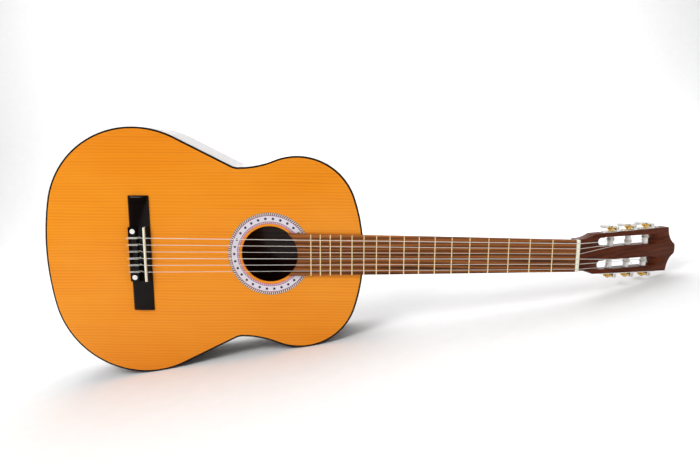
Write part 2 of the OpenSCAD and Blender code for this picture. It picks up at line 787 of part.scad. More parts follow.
stand() roller(4);  // roller_4
stand() roller(5);  // roller_5
stand() roller(6);  // roller_6
stand() gear(1);  // gear_1
stand() gear(2);  // gear_2
stand() gear(3);  // gear_3
stand() gear(4);  // gear_4
stand() gear(5);  // gear_5
stand() gear(6);  // gear_6
stand() worm(1);  // worm_1
stand() worm(2);  // worm_2
stand() worm(3);  // worm_3
stand() worm(4);  // worm_4
stand() worm(5);  // worm_5
stand() worm(6);  // worm_6
stand() button(1);  // button_1
stand() button(2);  // button_2
stand() button(3);  // button_3
stand() button(4);  // button_4
stand() button(5);  // button_5
stand() button(6);  // button_6
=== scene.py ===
"""Looks of the classical guitar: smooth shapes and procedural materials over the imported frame.

All shapes are worked out in the guitar's own axes, in millimetres: x runs along the neck from the
nut (x = 0) towards the headstock, y points to the bass side and z out of the face, with z = 0 on
the soundboard. STAND then places them in the frame, in metres, where the guitar stands on its
treble-side ribs.
"""

from math import acos, asin, atan, atan2, ceil, cos, hypot, pi, radians, sin, sqrt, tan

import bmesh
import bpy
from mathutils import Matrix, Vector
from mathutils.geometry import tessellate_polygon


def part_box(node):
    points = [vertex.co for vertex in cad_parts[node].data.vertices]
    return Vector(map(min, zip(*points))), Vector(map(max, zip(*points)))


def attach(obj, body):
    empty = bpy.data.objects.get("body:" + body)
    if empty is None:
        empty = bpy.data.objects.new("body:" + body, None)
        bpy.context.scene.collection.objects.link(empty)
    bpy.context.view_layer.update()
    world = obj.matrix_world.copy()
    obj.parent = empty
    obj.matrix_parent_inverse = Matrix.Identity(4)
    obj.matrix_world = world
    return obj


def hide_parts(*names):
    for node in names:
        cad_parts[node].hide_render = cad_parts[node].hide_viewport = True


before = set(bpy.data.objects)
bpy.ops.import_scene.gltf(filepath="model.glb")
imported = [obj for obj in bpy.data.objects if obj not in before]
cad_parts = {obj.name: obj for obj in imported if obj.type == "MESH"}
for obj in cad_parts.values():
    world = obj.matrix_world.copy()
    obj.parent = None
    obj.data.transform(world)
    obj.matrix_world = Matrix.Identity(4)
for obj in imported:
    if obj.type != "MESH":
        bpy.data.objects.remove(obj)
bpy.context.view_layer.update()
MM = 0.001
TAU = 2 * pi

# ---- driving dimensions, in millimetres -------------------------------------------------
SCALE_LENGTH = 650.0
NUT_SPREAD, SADDLE_SPREAD = 40.0, 53.0
ACTION = 3.2
BODY_LENGTH = 494.0
LOWER_BOUT, WAIST, UPPER_BOUT = 388.0, 267.5, 302.0
DEPTH_TAIL, DEPTH_NECK = 97.0, 92.0
TOP_T, BACK_T, RIB_T = 3.0, 4.0, 3.3
BINDING_W, BINDING_H = 2.8, 6.0
HOLE_X, HOLE_R = -470.5, 43.8
ROSETTE_IN, ROSETTE_OUT, ROSETTE_T = 47.5, 64.8, 0.9
NUT_WIDTH, JOINT_WIDTH = 49.5, 62.0
NUT_LEN = 5.5
BOARD_T = 5.5
FRET_H = 1.0
STRING_R = (0.36, 0.41, 0.51, 0.37, 0.45, 0.55)

# Headstock, with s measured along it from the back edge of the nut
HEAD_TILT = radians(19)
HEAD_T = 18.0
HEAD_END_WIDTH = 72.4
HEAD_LENGTH = 194.5
FLARE_S, FLARE_HALF = 30.0, 31.5
CORNER_S = 178.0
SLOT_FROM, SLOT_TO = 42.0, 152.0
SLOT_IN, SLOT_OUT = 10.5, 26.0
FIRST_ROLLER, ROLLER_PITCH = 68.0, 35.0
ROLLER_Y = (23.0, 15.0, 16.0, 20.0, 15.0, 18.5)

# Tuning machines
BARREL_R, BARREL_LEN = 5.0, 27.5
PLATE_T, PLATE_HALF, PLATE_H = 1.2, 57.0, 15.0
WORM_GAP = 8.0
GEAR_Y = PLATE_T + 4.2
GEAR_T, GEAR_TEETH, GEAR_MODULE = 3.6, 14, 0.75
LUG_Z, LUG_T, LUG_R = 6.2, 1.2, 3.2
SCREW_A = (-54.0, -15.5, 19.5, 54.0)

# Bridge
BRIDGE_FRONT, BRIDGE_BACK = -654.3, -686.0
BRIDGE_LEN, TIE_LEN = 181.0, 85.0
TIE_X = BRIDGE_BACK + 14
TIE_H, WING_H, SADDLE_BLOCK_H, SLOT_FLOOR = 9.5, 5.0, 8.5, 3.5
TIE_HOLE_Z = 5.0
SADDLE_X, SADDLE_T = -SCALE_LENGTH - 11, 2.8

# ---- body outline: arcs and one straight stretch, each tangent to the next ----------------
JOINT_X = -SCALE_LENGTH / 2
TAIL_X = JOINT_X - BODY_LENGTH
LOWER_X, WAIST_X, UPPER_X = TAIL_X + 144.5, TAIL_X + 303, TAIL_X + 392
R_LOWER, R_WAIST_TAIL, R_WAIST_NECK = 139.0, 25.0, 145.5
UPPER_GAP = (UPPER_BOUT - WAIST) / 2
R_UPPER = ((UPPER_X - WAIST_X) ** 2 + UPPER_GAP ** 2) / (2 * UPPER_GAP) - R_WAIST_NECK
C_LOWER = Vector((LOWER_X, LOWER_BOUT / 2 - R_LOWER))
C_WAIST_TAIL = Vector((WAIST_X, WAIST / 2 + R_WAIST_TAIL))
C_WAIST_NECK = Vector((WAIST_X, WAIST / 2 + R_WAIST_NECK))
C_UPPER = Vector((UPPER_X, UPPER_BOUT / 2 - R_UPPER))


def end_radius(a, b, r):
    """Radius of an end arc centred on the axis that touches a bout arc of radius r from outside."""
    return (a * a + b * b - r * r) / (2 * (a - r))


R_TAIL = end_radius(LOWER_X - TAIL_X, C_LOWER.y, R_LOWER)
R_SHOULDER = end_radius(JOINT_X - UPPER_X, C_UPPER.y, R_UPPER)
C_TAIL = Vector((TAIL_X + R_TAIL, 0))
C_SHOULDER = Vector((JOINT_X - R_SHOULDER, 0))


def angle_of(v):
    return atan2(v.y, v.x)


A_TAIL = angle_of(C_LOWER - C_TAIL)
A_LINE = (angle_of(C_WAIST_TAIL - C_LOWER)
          + acos((R_LOWER + R_WAIST_TAIL) / (C_WAIST_TAIL - C_LOWER).length))
A_WAIST = angle_of(C_UPPER - C_WAIST_NECK)
A_SHOULDER = angle_of(C_UPPER - C_SHOULDER)


def arc(c, r, a0, a1, n):
    return [(c[0] + r * cos(a0 + (a1 - a0) * i / n), c[1] + r * sin(a0 + (a1 - a0) * i / n))
            for i in range(n + 1)]


def distinct(points):
    """The points without those that lie on top of the one before."""
    kept = []
    for p in points:
        if not kept or hypot(p[0] - kept[-1][0], p[1] - kept[-1][1]) > 0.001:
            kept.append(p)
    return kept


def half_outline(d):
    """Bass half of the body's outline, from the tail to the neck joint, moved in by d."""
    line_a = Vector(arc(C_LOWER, R_LOWER - d, A_LINE, A_LINE, 1)[0])
    line_b = Vector(arc(C_WAIST_TAIL, R_WAIST_TAIL + d, A_LINE - pi, A_LINE - pi, 1)[0])
    straight = [tuple(line_a.lerp(line_b, k / 10)) for k in range(1, 10)]
    return distinct(arc(C_TAIL, R_TAIL - d, pi, A_TAIL, 16)
                    + arc(C_LOWER, R_LOWER - d, A_TAIL, A_LINE, 48) + straight
                    + arc(C_WAIST_TAIL, R_WAIST_TAIL + d, A_LINE - pi, -pi / 2, 14)
                    + arc(C_WAIST_NECK, R_WAIST_NECK + d, -pi / 2, A_WAIST, 16)
                    + arc(C_UPPER, R_UPPER - d, A_WAIST + pi, A_SHOULDER, 36)
                    + arc(C_SHOULDER, R_SHOULDER - d, A_SHOULDER, 0, 16))


def outline(d):
    """The whole outline, clockwise from the tail over the bass side."""
    half = half_outline(d)
    return half + [(x, -y) for x, y in half[-2:0:-1]]


def back_z(x):
    """Height of the back's rim at station x."""
    return -DEPTH_TAIL + (DEPTH_TAIL - DEPTH_NECK) * (x - TAIL_X) / BODY_LENGTH


# ---- places -----------------------------------------------------------------------------
LEAN = (atan2(C_LOWER.y - C_UPPER.y, UPPER_X - LOWER_X)
        + asin((R_LOWER - R_UPPER) / hypot(UPPER_X - LOWER_X, C_LOWER.y - C_UPPER.y)))
TURN = Matrix.Rotation(LEAN, 4, "Y") @ Matrix.Rotation(pi / 2, 4, "X")


def stand():
    """The rosette is round, so its box gives the sound hole's centre in the frame."""
    low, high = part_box("rosette")
    centre = (low + high) / 2
    here = TURN @ Vector((HOLE_X, 0, -ROSETTE_T / 2)) * MM
    return Matrix.Translation(centre - here) @ TURN @ Matrix.Scale(MM, 4)


STAND = stand()
HEAD = Matrix.Translation((NUT_LEN, 0, 0)) @ Matrix.Rotation(HEAD_TILT, 4, "Y")
SIDE_ANGLE = atan((HEAD_END_WIDTH / 2 - FLARE_HALF) / (CORNER_S - FLARE_S))


def head_half(s):
    return FLARE_HALF + (s - FLARE_S) * tan(SIDE_ANGLE)


def side_frame(side, s):
    """x along the side of the headstock, y outwards and z out of its face, on the side's middle."""
    mirror = Matrix.Diagonal((1, side, 1, 1))
    return (HEAD @ mirror @ Matrix.Translation((s, head_half(s), -HEAD_T / 2))
            @ Matrix.Rotation(SIDE_ANGLE, 4, "Z"))


OUTWARD = Matrix.Rotation(-pi / 2, 4, "X")  # turns z to the side frame's outward y


def side_of(i):
    return 1 if i > 3 else -1


def station_of(i):
    return 6 - i if i > 3 else i - 1


def tuner(i):
    return side_frame(side_of(i), FIRST_ROLLER + station_of(i) * ROLLER_PITCH)


def board_half(x):
    return NUT_WIDTH / 2 + (JOINT_WIDTH - NUT_WIDTH) / 2 * x / JOINT_X


def nut_y(i):
    return (i - 3.5) * NUT_SPREAD / 5


def saddle_y(i):
    return (i - 3.5) * SADDLE_SPREAD / 5


NUT_BOTTOM = BOARD_T + FRET_H + 0.4
STRING_SLOPE = (BOARD_T + FRET_H + ACTION - NUT_BOTTOM) / -JOINT_X
SADDLE_BOTTOM = NUT_BOTTOM - STRING_SLOPE * SADDLE_X


# ---- materials --------------------------------------------------------------------------
class Value:
    """A number, colour or vector in a node tree; Python's operators add the nodes for it."""

    def __init__(self, nodes, socket):
        self.nodes, self.socket = nodes, socket

    def __add__(self, other):
        return self.nodes.math("ADD", self, other)

    def __sub__(self, other):
        return self.nodes.math("SUBTRACT", self, other)

    def __mul__(self, other):
        return self.nodes.math("MULTIPLY", self, other)

    def __gt__(self, other):
        return self.nodes.math("GREATER_THAN", self, other)

    def __lt__(self, other):
        return self.nodes.math("LESS_THAN", self, other)


class Nodes:
    """The node tree of a material or world, with short calls to add and join nodes."""

    def __init__(self, owner):
        owner.use_nodes = True
        self.tree = owner.node_tree

    def join(self, source, target):
        if isinstance(source, Value):
            self.tree.links.new(source.socket, target)
        else:
            target.default_value = source

    def node(self, kind, *inputs, **settings):
        """A new node whose first inputs are joined or set."""
        node = self.tree.nodes.new(kind)
        for key, value in settings.items():
            setattr(node, key, value)
        for value, target in zip(inputs, node.inputs):
            self.join(value, target)
        return node

    def value(self, kind, *inputs, **settings):
        """The first output of a new node."""
        return Value(self, self.node(kind, *inputs, **settings).outputs[0])

    def math(self, operation, *inputs, clamp=False):
        return self.value("ShaderNodeMath", *inputs, operation=operation, use_clamp=clamp)

    def wave(self, value, pitch):
        """From 0 to 1 and back over each pitch."""
        return self.math("SINE", value * (TAU / pitch)) * 0.5 + 0.5

    def coords(self, kind="Object"):
        return Value(self, self.node("ShaderNodeTexCoord").outputs[kind])

    def place(self):
        """The guitar's own x, y and z of a surface point, in millimetres."""
        return self.value("ShaderNodeMapping", self.coords(), STAND.translation, TURN.to_euler(),
                          (MM, MM, MM), vector_type="TEXTURE")

    def stretch(self, vector, scale):
        return self.value("ShaderNodeMapping", vector, (0, 0, 0), (0, 0, 0), scale)

    def split(self, vector):
        return [Value(self, out) for out in self.node("ShaderNodeSeparateXYZ", vector).outputs]

    def noise(self, vector, scale, detail=3.0, roughness=0.55, distortion=0.0):
        node = self.node("ShaderNodeTexNoise")
        self.join(self.stretch(vector, scale), node.inputs["Vector"])
        for key, value in (("Scale", 1.0), ("Detail", detail), ("Roughness", roughness),
                           ("Distortion", distortion)):
            node.inputs[key].default_value = value
        return Value(self, node.outputs[0])

    def ramp(self, value, stops, interpolation="LINEAR"):
        """stops are (position, colour) pairs."""
        node = self.node("ShaderNodeValToRGB", value)
        node.color_ramp.interpolation = interpolation
        elements = node.color_ramp.elements
        while len(elements) < len(stops):
            elements.new(0.5)
        for element, (position, colour) in zip(elements, stops):
            element.position = position
            element.color = (*colour, 1)
        return Value(self, node.outputs[0])

    def mix(self, factor, a, b):
        node = self.node("ShaderNodeMix", data_type="RGBA")
        for k, value in ((0, factor), (6, a), (7, b)):
            self.join((*value, 1) if isinstance(value, tuple) else value, node.inputs[k])
        return Value(self, node.outputs[2])

    def spread(self, value, low, high, to_low, to_high):
        return self.value("ShaderNodeMapRange", value, low, high, to_low, to_high)


class Shader(Nodes):
    """A material with one Principled BSDF."""

    def __init__(self, name, **values):
        self.material = bpy.data.materials.new(name)
        super().__init__(self.material)
        self.surface = self.tree.nodes["Principled BSDF"]
        self.surface.inputs["Coat IOR"].default_value = 1.35
        for key, value in values.items():
            self.surface.inputs[key.replace("_", " ")].default_value = value

    def colour(self, value):
        self.join(value, self.surface.inputs["Base Color"])

    def roughness(self, value):
        self.join(value, self.surface.inputs["Roughness"])

    def bump(self, height, distance_mm, strength):
        node = self.node("ShaderNodeBump")
        for key, value in (("Strength", strength), ("Distance", distance_mm * MM),
                           ("Height", height)):
            self.join(value, node.inputs[key])
        self.join(Value(self, node.outputs[0]), self.surface.inputs["Normal"])


def grown_wood(name, dark, light, pitch, along=0.02, coat=0.0, gloss=0.3, streak=0.5, pores=0.0,
               source=Shader.place, spec=0.15):
    """Straight-grained wood: growth lines about pitch apart that run along x, with finer fibres."""
    s = Shader(name, Roughness=gloss, Coat_Weight=coat, Coat_Roughness=0.06,
               Specular_IOR_Level=spec)
    p = source(s)
    x, y, z = s.split(p)
    drift = s.noise(p, (along * 0.2, 0.03, 0.03), 2)
    lines = s.wave(y + drift * (pitch * 3) + z * 0.35, pitch)
    fibre = s.noise(p, (along, 1.6, 1.6), 4, 0.6)
    broad = s.noise(p, (along * 0.25, 0.09, 0.09))
    value = s.math("ADD", lines * (streak * 0.45) + fibre * 0.55, broad * 0.6 - 0.3, clamp=True)
    colour = s.ramp(value, [(0.12, dark), (0.88, light)])
    if pores:
        pore = s.noise(p, (0.12, 2.4, 2.4), 2)
        colour = s.mix(s.spread(pore, 0.62, 0.72, 0, pores), colour,
                       tuple(0.35 * c for c in dark))
    s.colour(colour)
    s.roughness(s.spread(fibre, 0, 1, gloss * 0.85, gloss * 1.2))
    s.bump(fibre, 0.05, 0.25 if coat else 0.6)
    return s.material


def spruce():
    """Amber lacquered top: lines 4.6 mm apart, finer lines between them and a soft cloud."""
    s = Shader("spruce_top", Roughness=0.38, Specular_IOR_Level=0.08, Coat_Weight=0.4,
               Coat_Roughness=0.08)
    p = s.place()
    x, y, z = s.split(p)
    across = y + s.noise(p, (0.0022, 0.012, 0.0), 2) * 14
    fibre = s.noise(p, (0.012, 1.3, 0.0), 4, 0.62)
    strength = s.noise(p, (0.003, 0.11, 0.0), 2)
    value = s.wave(across, 4.6) * s.spread(strength, 0.3, 0.7, 0.25, 0.75)
    value = s.math("ADD", value + s.wave(across, 1.53) * 0.10, fibre * 0.55 - 0.14, clamp=True)
    colour = s.ramp(value, [(0.05, (0.935, 0.325, 0.013)), (0.95, (0.790, 0.215, 0.006))])
    cloud = s.noise(p, (0.006, 0.010, 0.0), 2)
    colour = s.mix(s.spread(cloud, 0.35, 0.7, 0, 0.35), colour, (0.92, 0.36, 0.030))
    # The lacquer deepens towards the rim.
    rim = s.math("POWER", s.math("ABSOLUTE", y) * (2 / LOWER_BOUT), 3.0)
    s.colour(s.mix(rim * 0.30, colour, (0.70, 0.16, 0.008)))
    s.bump(fibre, 0.03, 0.2)
    return s.material


def rosette_print():
    """Ring inlay: two rope borders, thin purple lines and a pearly band with dark dots."""
    s = Shader("rosette_print", Roughness=0.3, Coat_Weight=0.75, Coat_Roughness=0.07)
    x, y, z = s.split(s.place())
    x = x - HOLE_X
    radius = s.math("SQRT", x * x + y * y)
    turn = s.math("ARCTAN2", y, x) * (1 / TAU)
    reach = s.spread(radius, ROSETTE_IN, ROSETTE_OUT, 0, 1)
    cream, purple, plum = (0.80, 0.66, 0.58), (0.24, 0.035, 0.17), (0.40, 0.09, 0.26)
    pearl, ink = (0.74, 0.68, 0.76), (0.012, 0.010, 0.016)
    band_from, band_to = 0.205, 0.700
    bands = s.ramp(reach, [(0.0, plum), (0.045, cream), (0.150, purple), (band_from, pearl),
                           (band_to, purple), (0.765, cream), (0.975, ink)], "CONSTANT")
    # Mottled pearl
    cells = s.node("ShaderNodeTexVoronoi", s.stretch(s.place(), (0.45, 0.45, 0.45)))
    hue = s.mix(Value(s, cells.outputs["Color"]), (0.86, 0.80, 0.90), (0.62, 0.60, 0.66))
    colour = s.mix((reach > band_from) * (reach < band_to) * 0.55, bands, hue)
    # Dots in the pearl band
    dots, dot_r, dot_at = 30, 2.0, 55.4
    along = (s.math("FRACT", turn * dots + (dots + 0.5)) - 0.5) * (TAU * dot_at / dots)
    out = radius - dot_at
    colour = s.mix(along * along + out * out < dot_r ** 2, colour, ink)
    # Slanted dashes in the two ropes
    for count, low, high, slant, dash in ((120, 0.775, 0.965, 1.6, ink),
                                          (100, 0.055, 0.14, -1.2, plum)):
        on = s.math("FRACT", turn * count + count + reach * slant) > 0.48
        colour = s.mix(on * (reach > low) * (reach < high), colour, dash)
    s.colour(colour)
    return s.material


def plain(name, colour, rough, coat=0.0, metal=0.0, mottle=0.06, grain_mm=3.0, bump_mm=0.0,
          spec=0.5):
    """A moulded, polished or painted surface with slight mottling and fine wear in its gloss."""
    s = Shader(name, Metallic=metal, Coat_Weight=coat, Coat_Roughness=0.05, Specular_IOR_Level=spec)
    p = s.place()
    fine = s.noise(p, (8 / grain_mm,) * 3, 4, 0.65)
    dark = tuple(c * (1 - mottle) for c in colour)
    light = tuple(min(1, c * (1 + mottle)) for c in colour)
    s.colour(s.ramp(s.noise(p, (1 / grain_mm,) * 3), [(0.3, dark), (0.7, light)]))
    s.roughness(s.spread(fine, 0.25, 0.75, rough * 0.75, rough * 1.3))
    if bump_mm:
        s.bump(fine, bump_mm, 0.5)
    return s.material


def pearl_plastic():
    """Moulded pearl: bent milky bands with a faint warm and cool shift."""
    s = Shader("pearl_plastic", Roughness=0.22, Coat_Weight=0.6, Coat_Roughness=0.05,
               Subsurface_Weight=0.12, Subsurface_Scale=0.002)
    swirl = s.noise(s.place(), (0.10, 0.22, 0.16), 4, 0.6, 1.6)
    s.colour(s.ramp(swirl, [(0.25, (0.74, 0.70, 0.66)), (0.45, (0.93, 0.90, 0.86)),
                            (0.60, (0.84, 0.85, 0.86)), (0.80, (0.96, 0.94, 0.91))]))
    s.roughness(s.spread(swirl, 0, 1, 0.16, 0.30))
    return s.material


def wound_metal():
    """Silvered winding on the bass strings: close turns across the string."""
    s = Shader("wound_metal", Metallic=0.4, Roughness=0.4)
    p = s.place()
    x, y, z = s.split(p)
    turns = s.wave(x + z * 0.2, 0.4)
    bright = s.mix(s.noise(p, (0.02, 0.5, 0.5)), (0.90, 0.88, 0.82), (0.76, 0.71, 0.62))
    s.colour(s.mix(turns * 0.35, bright, (0.30, 0.28, 0.26)))
    s.bump(turns, 0.06, 0.6)
    return s.material


def clear_nylon():
    """Clear monofilament: partly see-through with a milky haze."""
    s = Shader("clear_nylon", Roughness=0.12, Transmission_Weight=0.30, IOR=1.53)
    haze = s.noise(s.place(), (0.05, 0.8, 0.8))
    s.colour(s.ramp(haze, [(0.3, (0.93, 0.90, 0.82)), (0.7, (0.97, 0.96, 0.92))]))
    s.roughness(s.spread(haze, 0.3, 0.7, 0.10, 0.18))
    return s.material


def rib_place(s):
    """Along the bent rib and across it, from the piece's own map, so the grain follows the bend."""
    return s.stretch(s.value("ShaderNodeUVMap", uv_map="along"), (1 / MM, 1 / MM, 1 / MM))


def paper():
    """Floor and backdrop: a matt white sweep."""
    s = Shader("studio_paper", Roughness=0.9, Specular_IOR_Level=0.1)
    fine = s.noise(s.coords(), (40, 40, 40))
    s.colour(s.ramp(fine, [(0.3, (0.89, 0.89, 0.89)), (0.7, (0.91, 0.91, 0.91))]))
    return s.material


LOOKS = {
    "spruce": spruce(),
    "back": grown_wood("back_lacquer", (0.026, 0.0060, 0.0030), (0.110, 0.027, 0.011), 7.5,
                       coat=0.25, gloss=0.3, streak=0.5),
    "rib": grown_wood("rib_lacquer", (0.018, 0.0040, 0.0020), (0.090, 0.020, 0.008), 7.5,
                      coat=0.7, gloss=0.3, streak=0.5, source=rib_place),
    "neck": grown_wood("neck_lacquer", (0.045, 0.008, 0.0025), (0.220, 0.045, 0.009), 9.0,
                       coat=0.10, gloss=0.3, streak=0.3, pores=0.3, spec=0.06),
    "rosewood": grown_wood("rosewood_board", (0.014, 0.004, 0.002), (0.500, 0.160, 0.036), 7.0,
                           along=0.012, coat=0.03, gloss=0.5, streak=0.8, pores=0.8),
    "inner": grown_wood("inner_wood", (0.42, 0.26, 0.13), (0.64, 0.46, 0.27), 2.2, gloss=0.75,
                        spec=0.35),
    "binding": plain("black_binding", (0.005, 0.004, 0.004), 0.22, coat=0.35, spec=0.08),
    "ebony": plain("black_lacquer", (0.004, 0.002, 0.0015), 0.16, coat=0.35, mottle=0.3, grain_mm=9,
                   spec=0.03),
    "rosette": rosette_print(),
    "ivory": plain("ivory_plastic", (0.95, 0.93, 0.74), 0.30, coat=0.2, mottle=0.04, grain_mm=4),
    "pearl": pearl_plastic(),
    "white": plain("white_plastic", (0.97, 0.96, 0.94), 0.28, coat=0.3, mottle=0.03),
    "nickel": plain("nickel_plate", (0.74, 0.72, 0.69), 0.20, metal=1.0, bump_mm=0.01),
    "steel": plain("screw_steel", (0.34, 0.33, 0.32), 0.28, metal=1.0, bump_mm=0.02),
    "brass": plain("gear_brass", (0.83, 0.58, 0.20), 0.24, metal=1.0, mottle=0.12, bump_mm=0.015),
    "fret": plain("fret_wire", (0.86, 0.68, 0.36), 0.22, metal=1.0, mottle=0.05, bump_mm=0.01),
    "nylon": clear_nylon(),
    "wound": wound_metal(),
    "paper": paper(),
}


# ---- mesh helpers -----------------------------------------------------------------------
BODY = "guitar_body"


def add_object(name, data, look=None):
    obj = bpy.data.objects.new(name, data)
    bpy.context.scene.collection.objects.link(obj)
    if look:
        data.materials.append(LOOKS[look])
    return obj


def make(name, verts, faces, look, place=STAND, sharp=32.0):
    """An object from points in millimetres; place takes them to the frame."""
    mesh = bpy.data.meshes.new(name)
    mesh.from_pydata([place @ Vector(v) for v in verts], [], faces)
    work = bmesh.new()
    work.from_mesh(mesh)
    bmesh.ops.recalc_face_normals(work, faces=work.faces)
    work.to_mesh(mesh)
    work.free()
    mesh.shade_smooth()
    mesh.set_sharp_from_angle(angle=radians(sharp))
    return add_object(name, mesh, look)


def joined(shapes):
    """One list of points and one of faces from several (points, faces) shapes."""
    verts, faces = [], []
    for some, more in shapes:
        start = len(verts)
        verts += some
        faces += [tuple(start + k for k in face) for face in more]
    return verts, faces


def moved(shape, matrix):
    verts, faces = shape
    return [tuple(matrix @ Vector(v)) for v in verts], faces


def loft(rings, closed=True, caps=True, loop=False):
    """Quads between rings of equally many points; loop joins the last ring to the first."""
    n = len(rings[0])
    verts = [tuple(p) for ring in rings for p in ring]
    faces = []
    count = len(rings)
    for k in range(count if loop else count - 1):
        for i in range(n if closed else n - 1):
            a, b = k * n + i, k * n + (i + 1) % n
            c, d = (k + 1) % count * n + (i + 1) % n, (k + 1) % count * n + i
            faces.append((a, b, c, d))
    if caps and not loop:
        faces.append(tuple(range(n - 1, -1, -1)))
        faces.append(tuple((count - 1) * n + i for i in range(n)))
    return verts, faces


def circle(cx, cy, r, n=96):
    return [(cx + r * cos(TAU * k / n), cy + r * sin(TAU * k / n)) for k in range(n)]


def lathe(profile, steps=40):
    """Turns (radius, z) points about z; a radius of 0 closes an end."""
    return loft([[(x, y, z) for x, y in circle(0, 0, r, steps)] for r, z in profile])


def inset(points, d):
    """A loop of (x, y) points moved by d to the left of its direction of travel."""
    n = len(points)
    out = []
    for i in range(n):
        p, q, r = (Vector(points[k % n]) for k in (i - 1, i, i + 1))
        a, b = (q - p).normalized(), (r - q).normalized()
        left = Vector((-a.y - b.y, a.x + b.x))
        left = left.normalized() if left.length > 1e-6 else Vector((-a.y, a.x))
        lean = max(0.5, left.dot(Vector((-a.y, a.x))))
        out.append(tuple(q + left * d / lean))
    return out


def area(points):
    return sum(a[0] * b[1] - b[0] * a[1] for a, b in zip(points, points[1:] + points[:1])) / 2


def ccw(points):
    return points if area(points) > 0 else points[::-1]


def rounded(z0, z1, edge, steps=3):
    """(inset, z) along a wall from z0 up to z1 whose two edges are rounded."""
    turn = [k * pi / 2 / steps for k in range(steps + 1)]
    low = [(edge * (1 - sin(a)), z0 + edge * (1 - cos(a))) for a in turn]
    return low + [(d, z0 + z1 - z) for d, z in reversed(low)]


def filled(verts, loops):
    """Triangles that fill the first loop of vertex numbers around the others."""
    flat = [k for loop in loops for k in loop]
    corners = [[Vector(verts[k]) for k in loop] for loop in loops]
    return [tuple(flat[k] for k in tri) for tri in tessellate_polygon(corners)]


def slab(outer, holes, z0, z1, edge, steps=3):
    """A closed plate between z0 and z1 with holes and rounded edges."""
    loops = [ccw([tuple(p) for p in outer])] + [ccw([tuple(p) for p in h])[::-1] for h in holes]
    wall = rounded(z0, z1, edge, steps)
    verts, faces, ends = [], [], ([], [])
    for loop in loops:
        n, start = len(loop), len(verts)
        for d, z in wall:
            verts += [(x, y, z) for x, y in inset(loop, d)]
        for k in range(len(wall) - 1):
            for i in range(n):
                a, b = start + k * n + i, start + k * n + (i + 1) % n
                faces.append((a, b, b + n, a + n))
        ends[0].append([start + i for i in range(n)])
        ends[1].append([start + (len(wall) - 1) * n + i for i in range(n)])
    return verts, faces + filled(verts, ends[0]) + filled(verts, ends[1])


def box_shape(x0, x1, y0, y1, z0, z1, edge=0.3):
    return slab([(x0, y0), (x1, y0), (x1, y1), (x0, y1)], [], z0, z1, edge, 2)


def cut(obj, shapes, place=STAND, operation="DIFFERENCE"):
    """Cuts closed shapes out of obj, or adds them to it, and keeps the result as its mesh."""
    for shape in shapes:
        tool = make("tool", *shape, "nickel", place)
        change = obj.modifiers.new("cut", "BOOLEAN")
        change.operation = operation
        change.solver = "EXACT"
        change.object = tool
        apply_modifiers(obj)
        data = tool.data
        bpy.data.objects.remove(tool)
        bpy.data.meshes.remove(data)
    return obj


def apply_modifiers(obj):
    depsgraph = bpy.context.evaluated_depsgraph_get()
    mesh = bpy.data.meshes.new_from_object(obj.evaluated_get(depsgraph), depsgraph=depsgraph)
    old = obj.data
    obj.modifiers.clear()
    obj.data = mesh
    mesh.name = obj.name
    bpy.data.meshes.remove(old)


def dress(obj, look):
    obj.data.materials.clear()
    obj.data.materials.append(LOOKS[look])


def resmooth(obj, look, sharp=32.0):
    """One look and smooth shading again, after a cut."""
    dress(obj, look)
    for face in obj.data.polygons:
        face.material_index = 0
    obj.data.shade_smooth()
    obj.data.set_sharp_from_angle(angle=radians(sharp))
    return obj


def wire(name, points, radius, look, place=STAND):
    """A round wire through points in millimetres."""
    data = bpy.data.curves.new(name, "CURVE")
    data.dimensions = "3D"
    data.bevel_depth = radius * MM
    data.bevel_resolution = 3
    data.use_fill_caps = True
    spline = data.splines.new("POLY")
    spline.points.add(len(points) - 1)
    for target, p in zip(spline.points, points):
        target.co = (*(place @ Vector(p)), 1)
    return add_object(name, data, look)


def finish_piece(obj, body, slot, *nodes):
    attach(obj, body)
    if nodes:
        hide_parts(*nodes)
    return obj


def piece(name, shape, look, slot, *nodes, body=BODY, place=STAND, sharp=32.0):
    return finish_piece(make(name, *shape, look, place, sharp), body, slot, *nodes)


def absorb(obj, *others):
    """Adds the meshes of the others to obj's and removes the others."""
    work = bmesh.new()
    for part in (obj, *others):
        work.from_mesh(part.data)
    work.to_mesh(obj.data)
    work.free()
    for part in others:
        bpy.data.objects.remove(part)


def between(points, t):
    """The second value where the first is t, on a line through points; None past its ends."""
    for (a, p), (b, q) in zip(points, points[1:]):
        if min(a, b) <= t <= max(a, b) and a != b:
            return p + (q - p) * (t - a) / (b - a)


def power(v, e):
    return (1 if v > 0 else -1) * abs(v) ** e


def bezier(a, b, c, n):
    """Points of a quadratic curve after its start."""
    a, b, c = Vector(a), Vector(b), Vector(c)
    return [tuple((1 - t) ** 2 * a + 2 * t * (1 - t) * b + t * t * c)
            for t in (k / n for k in range(1, n + 1))]


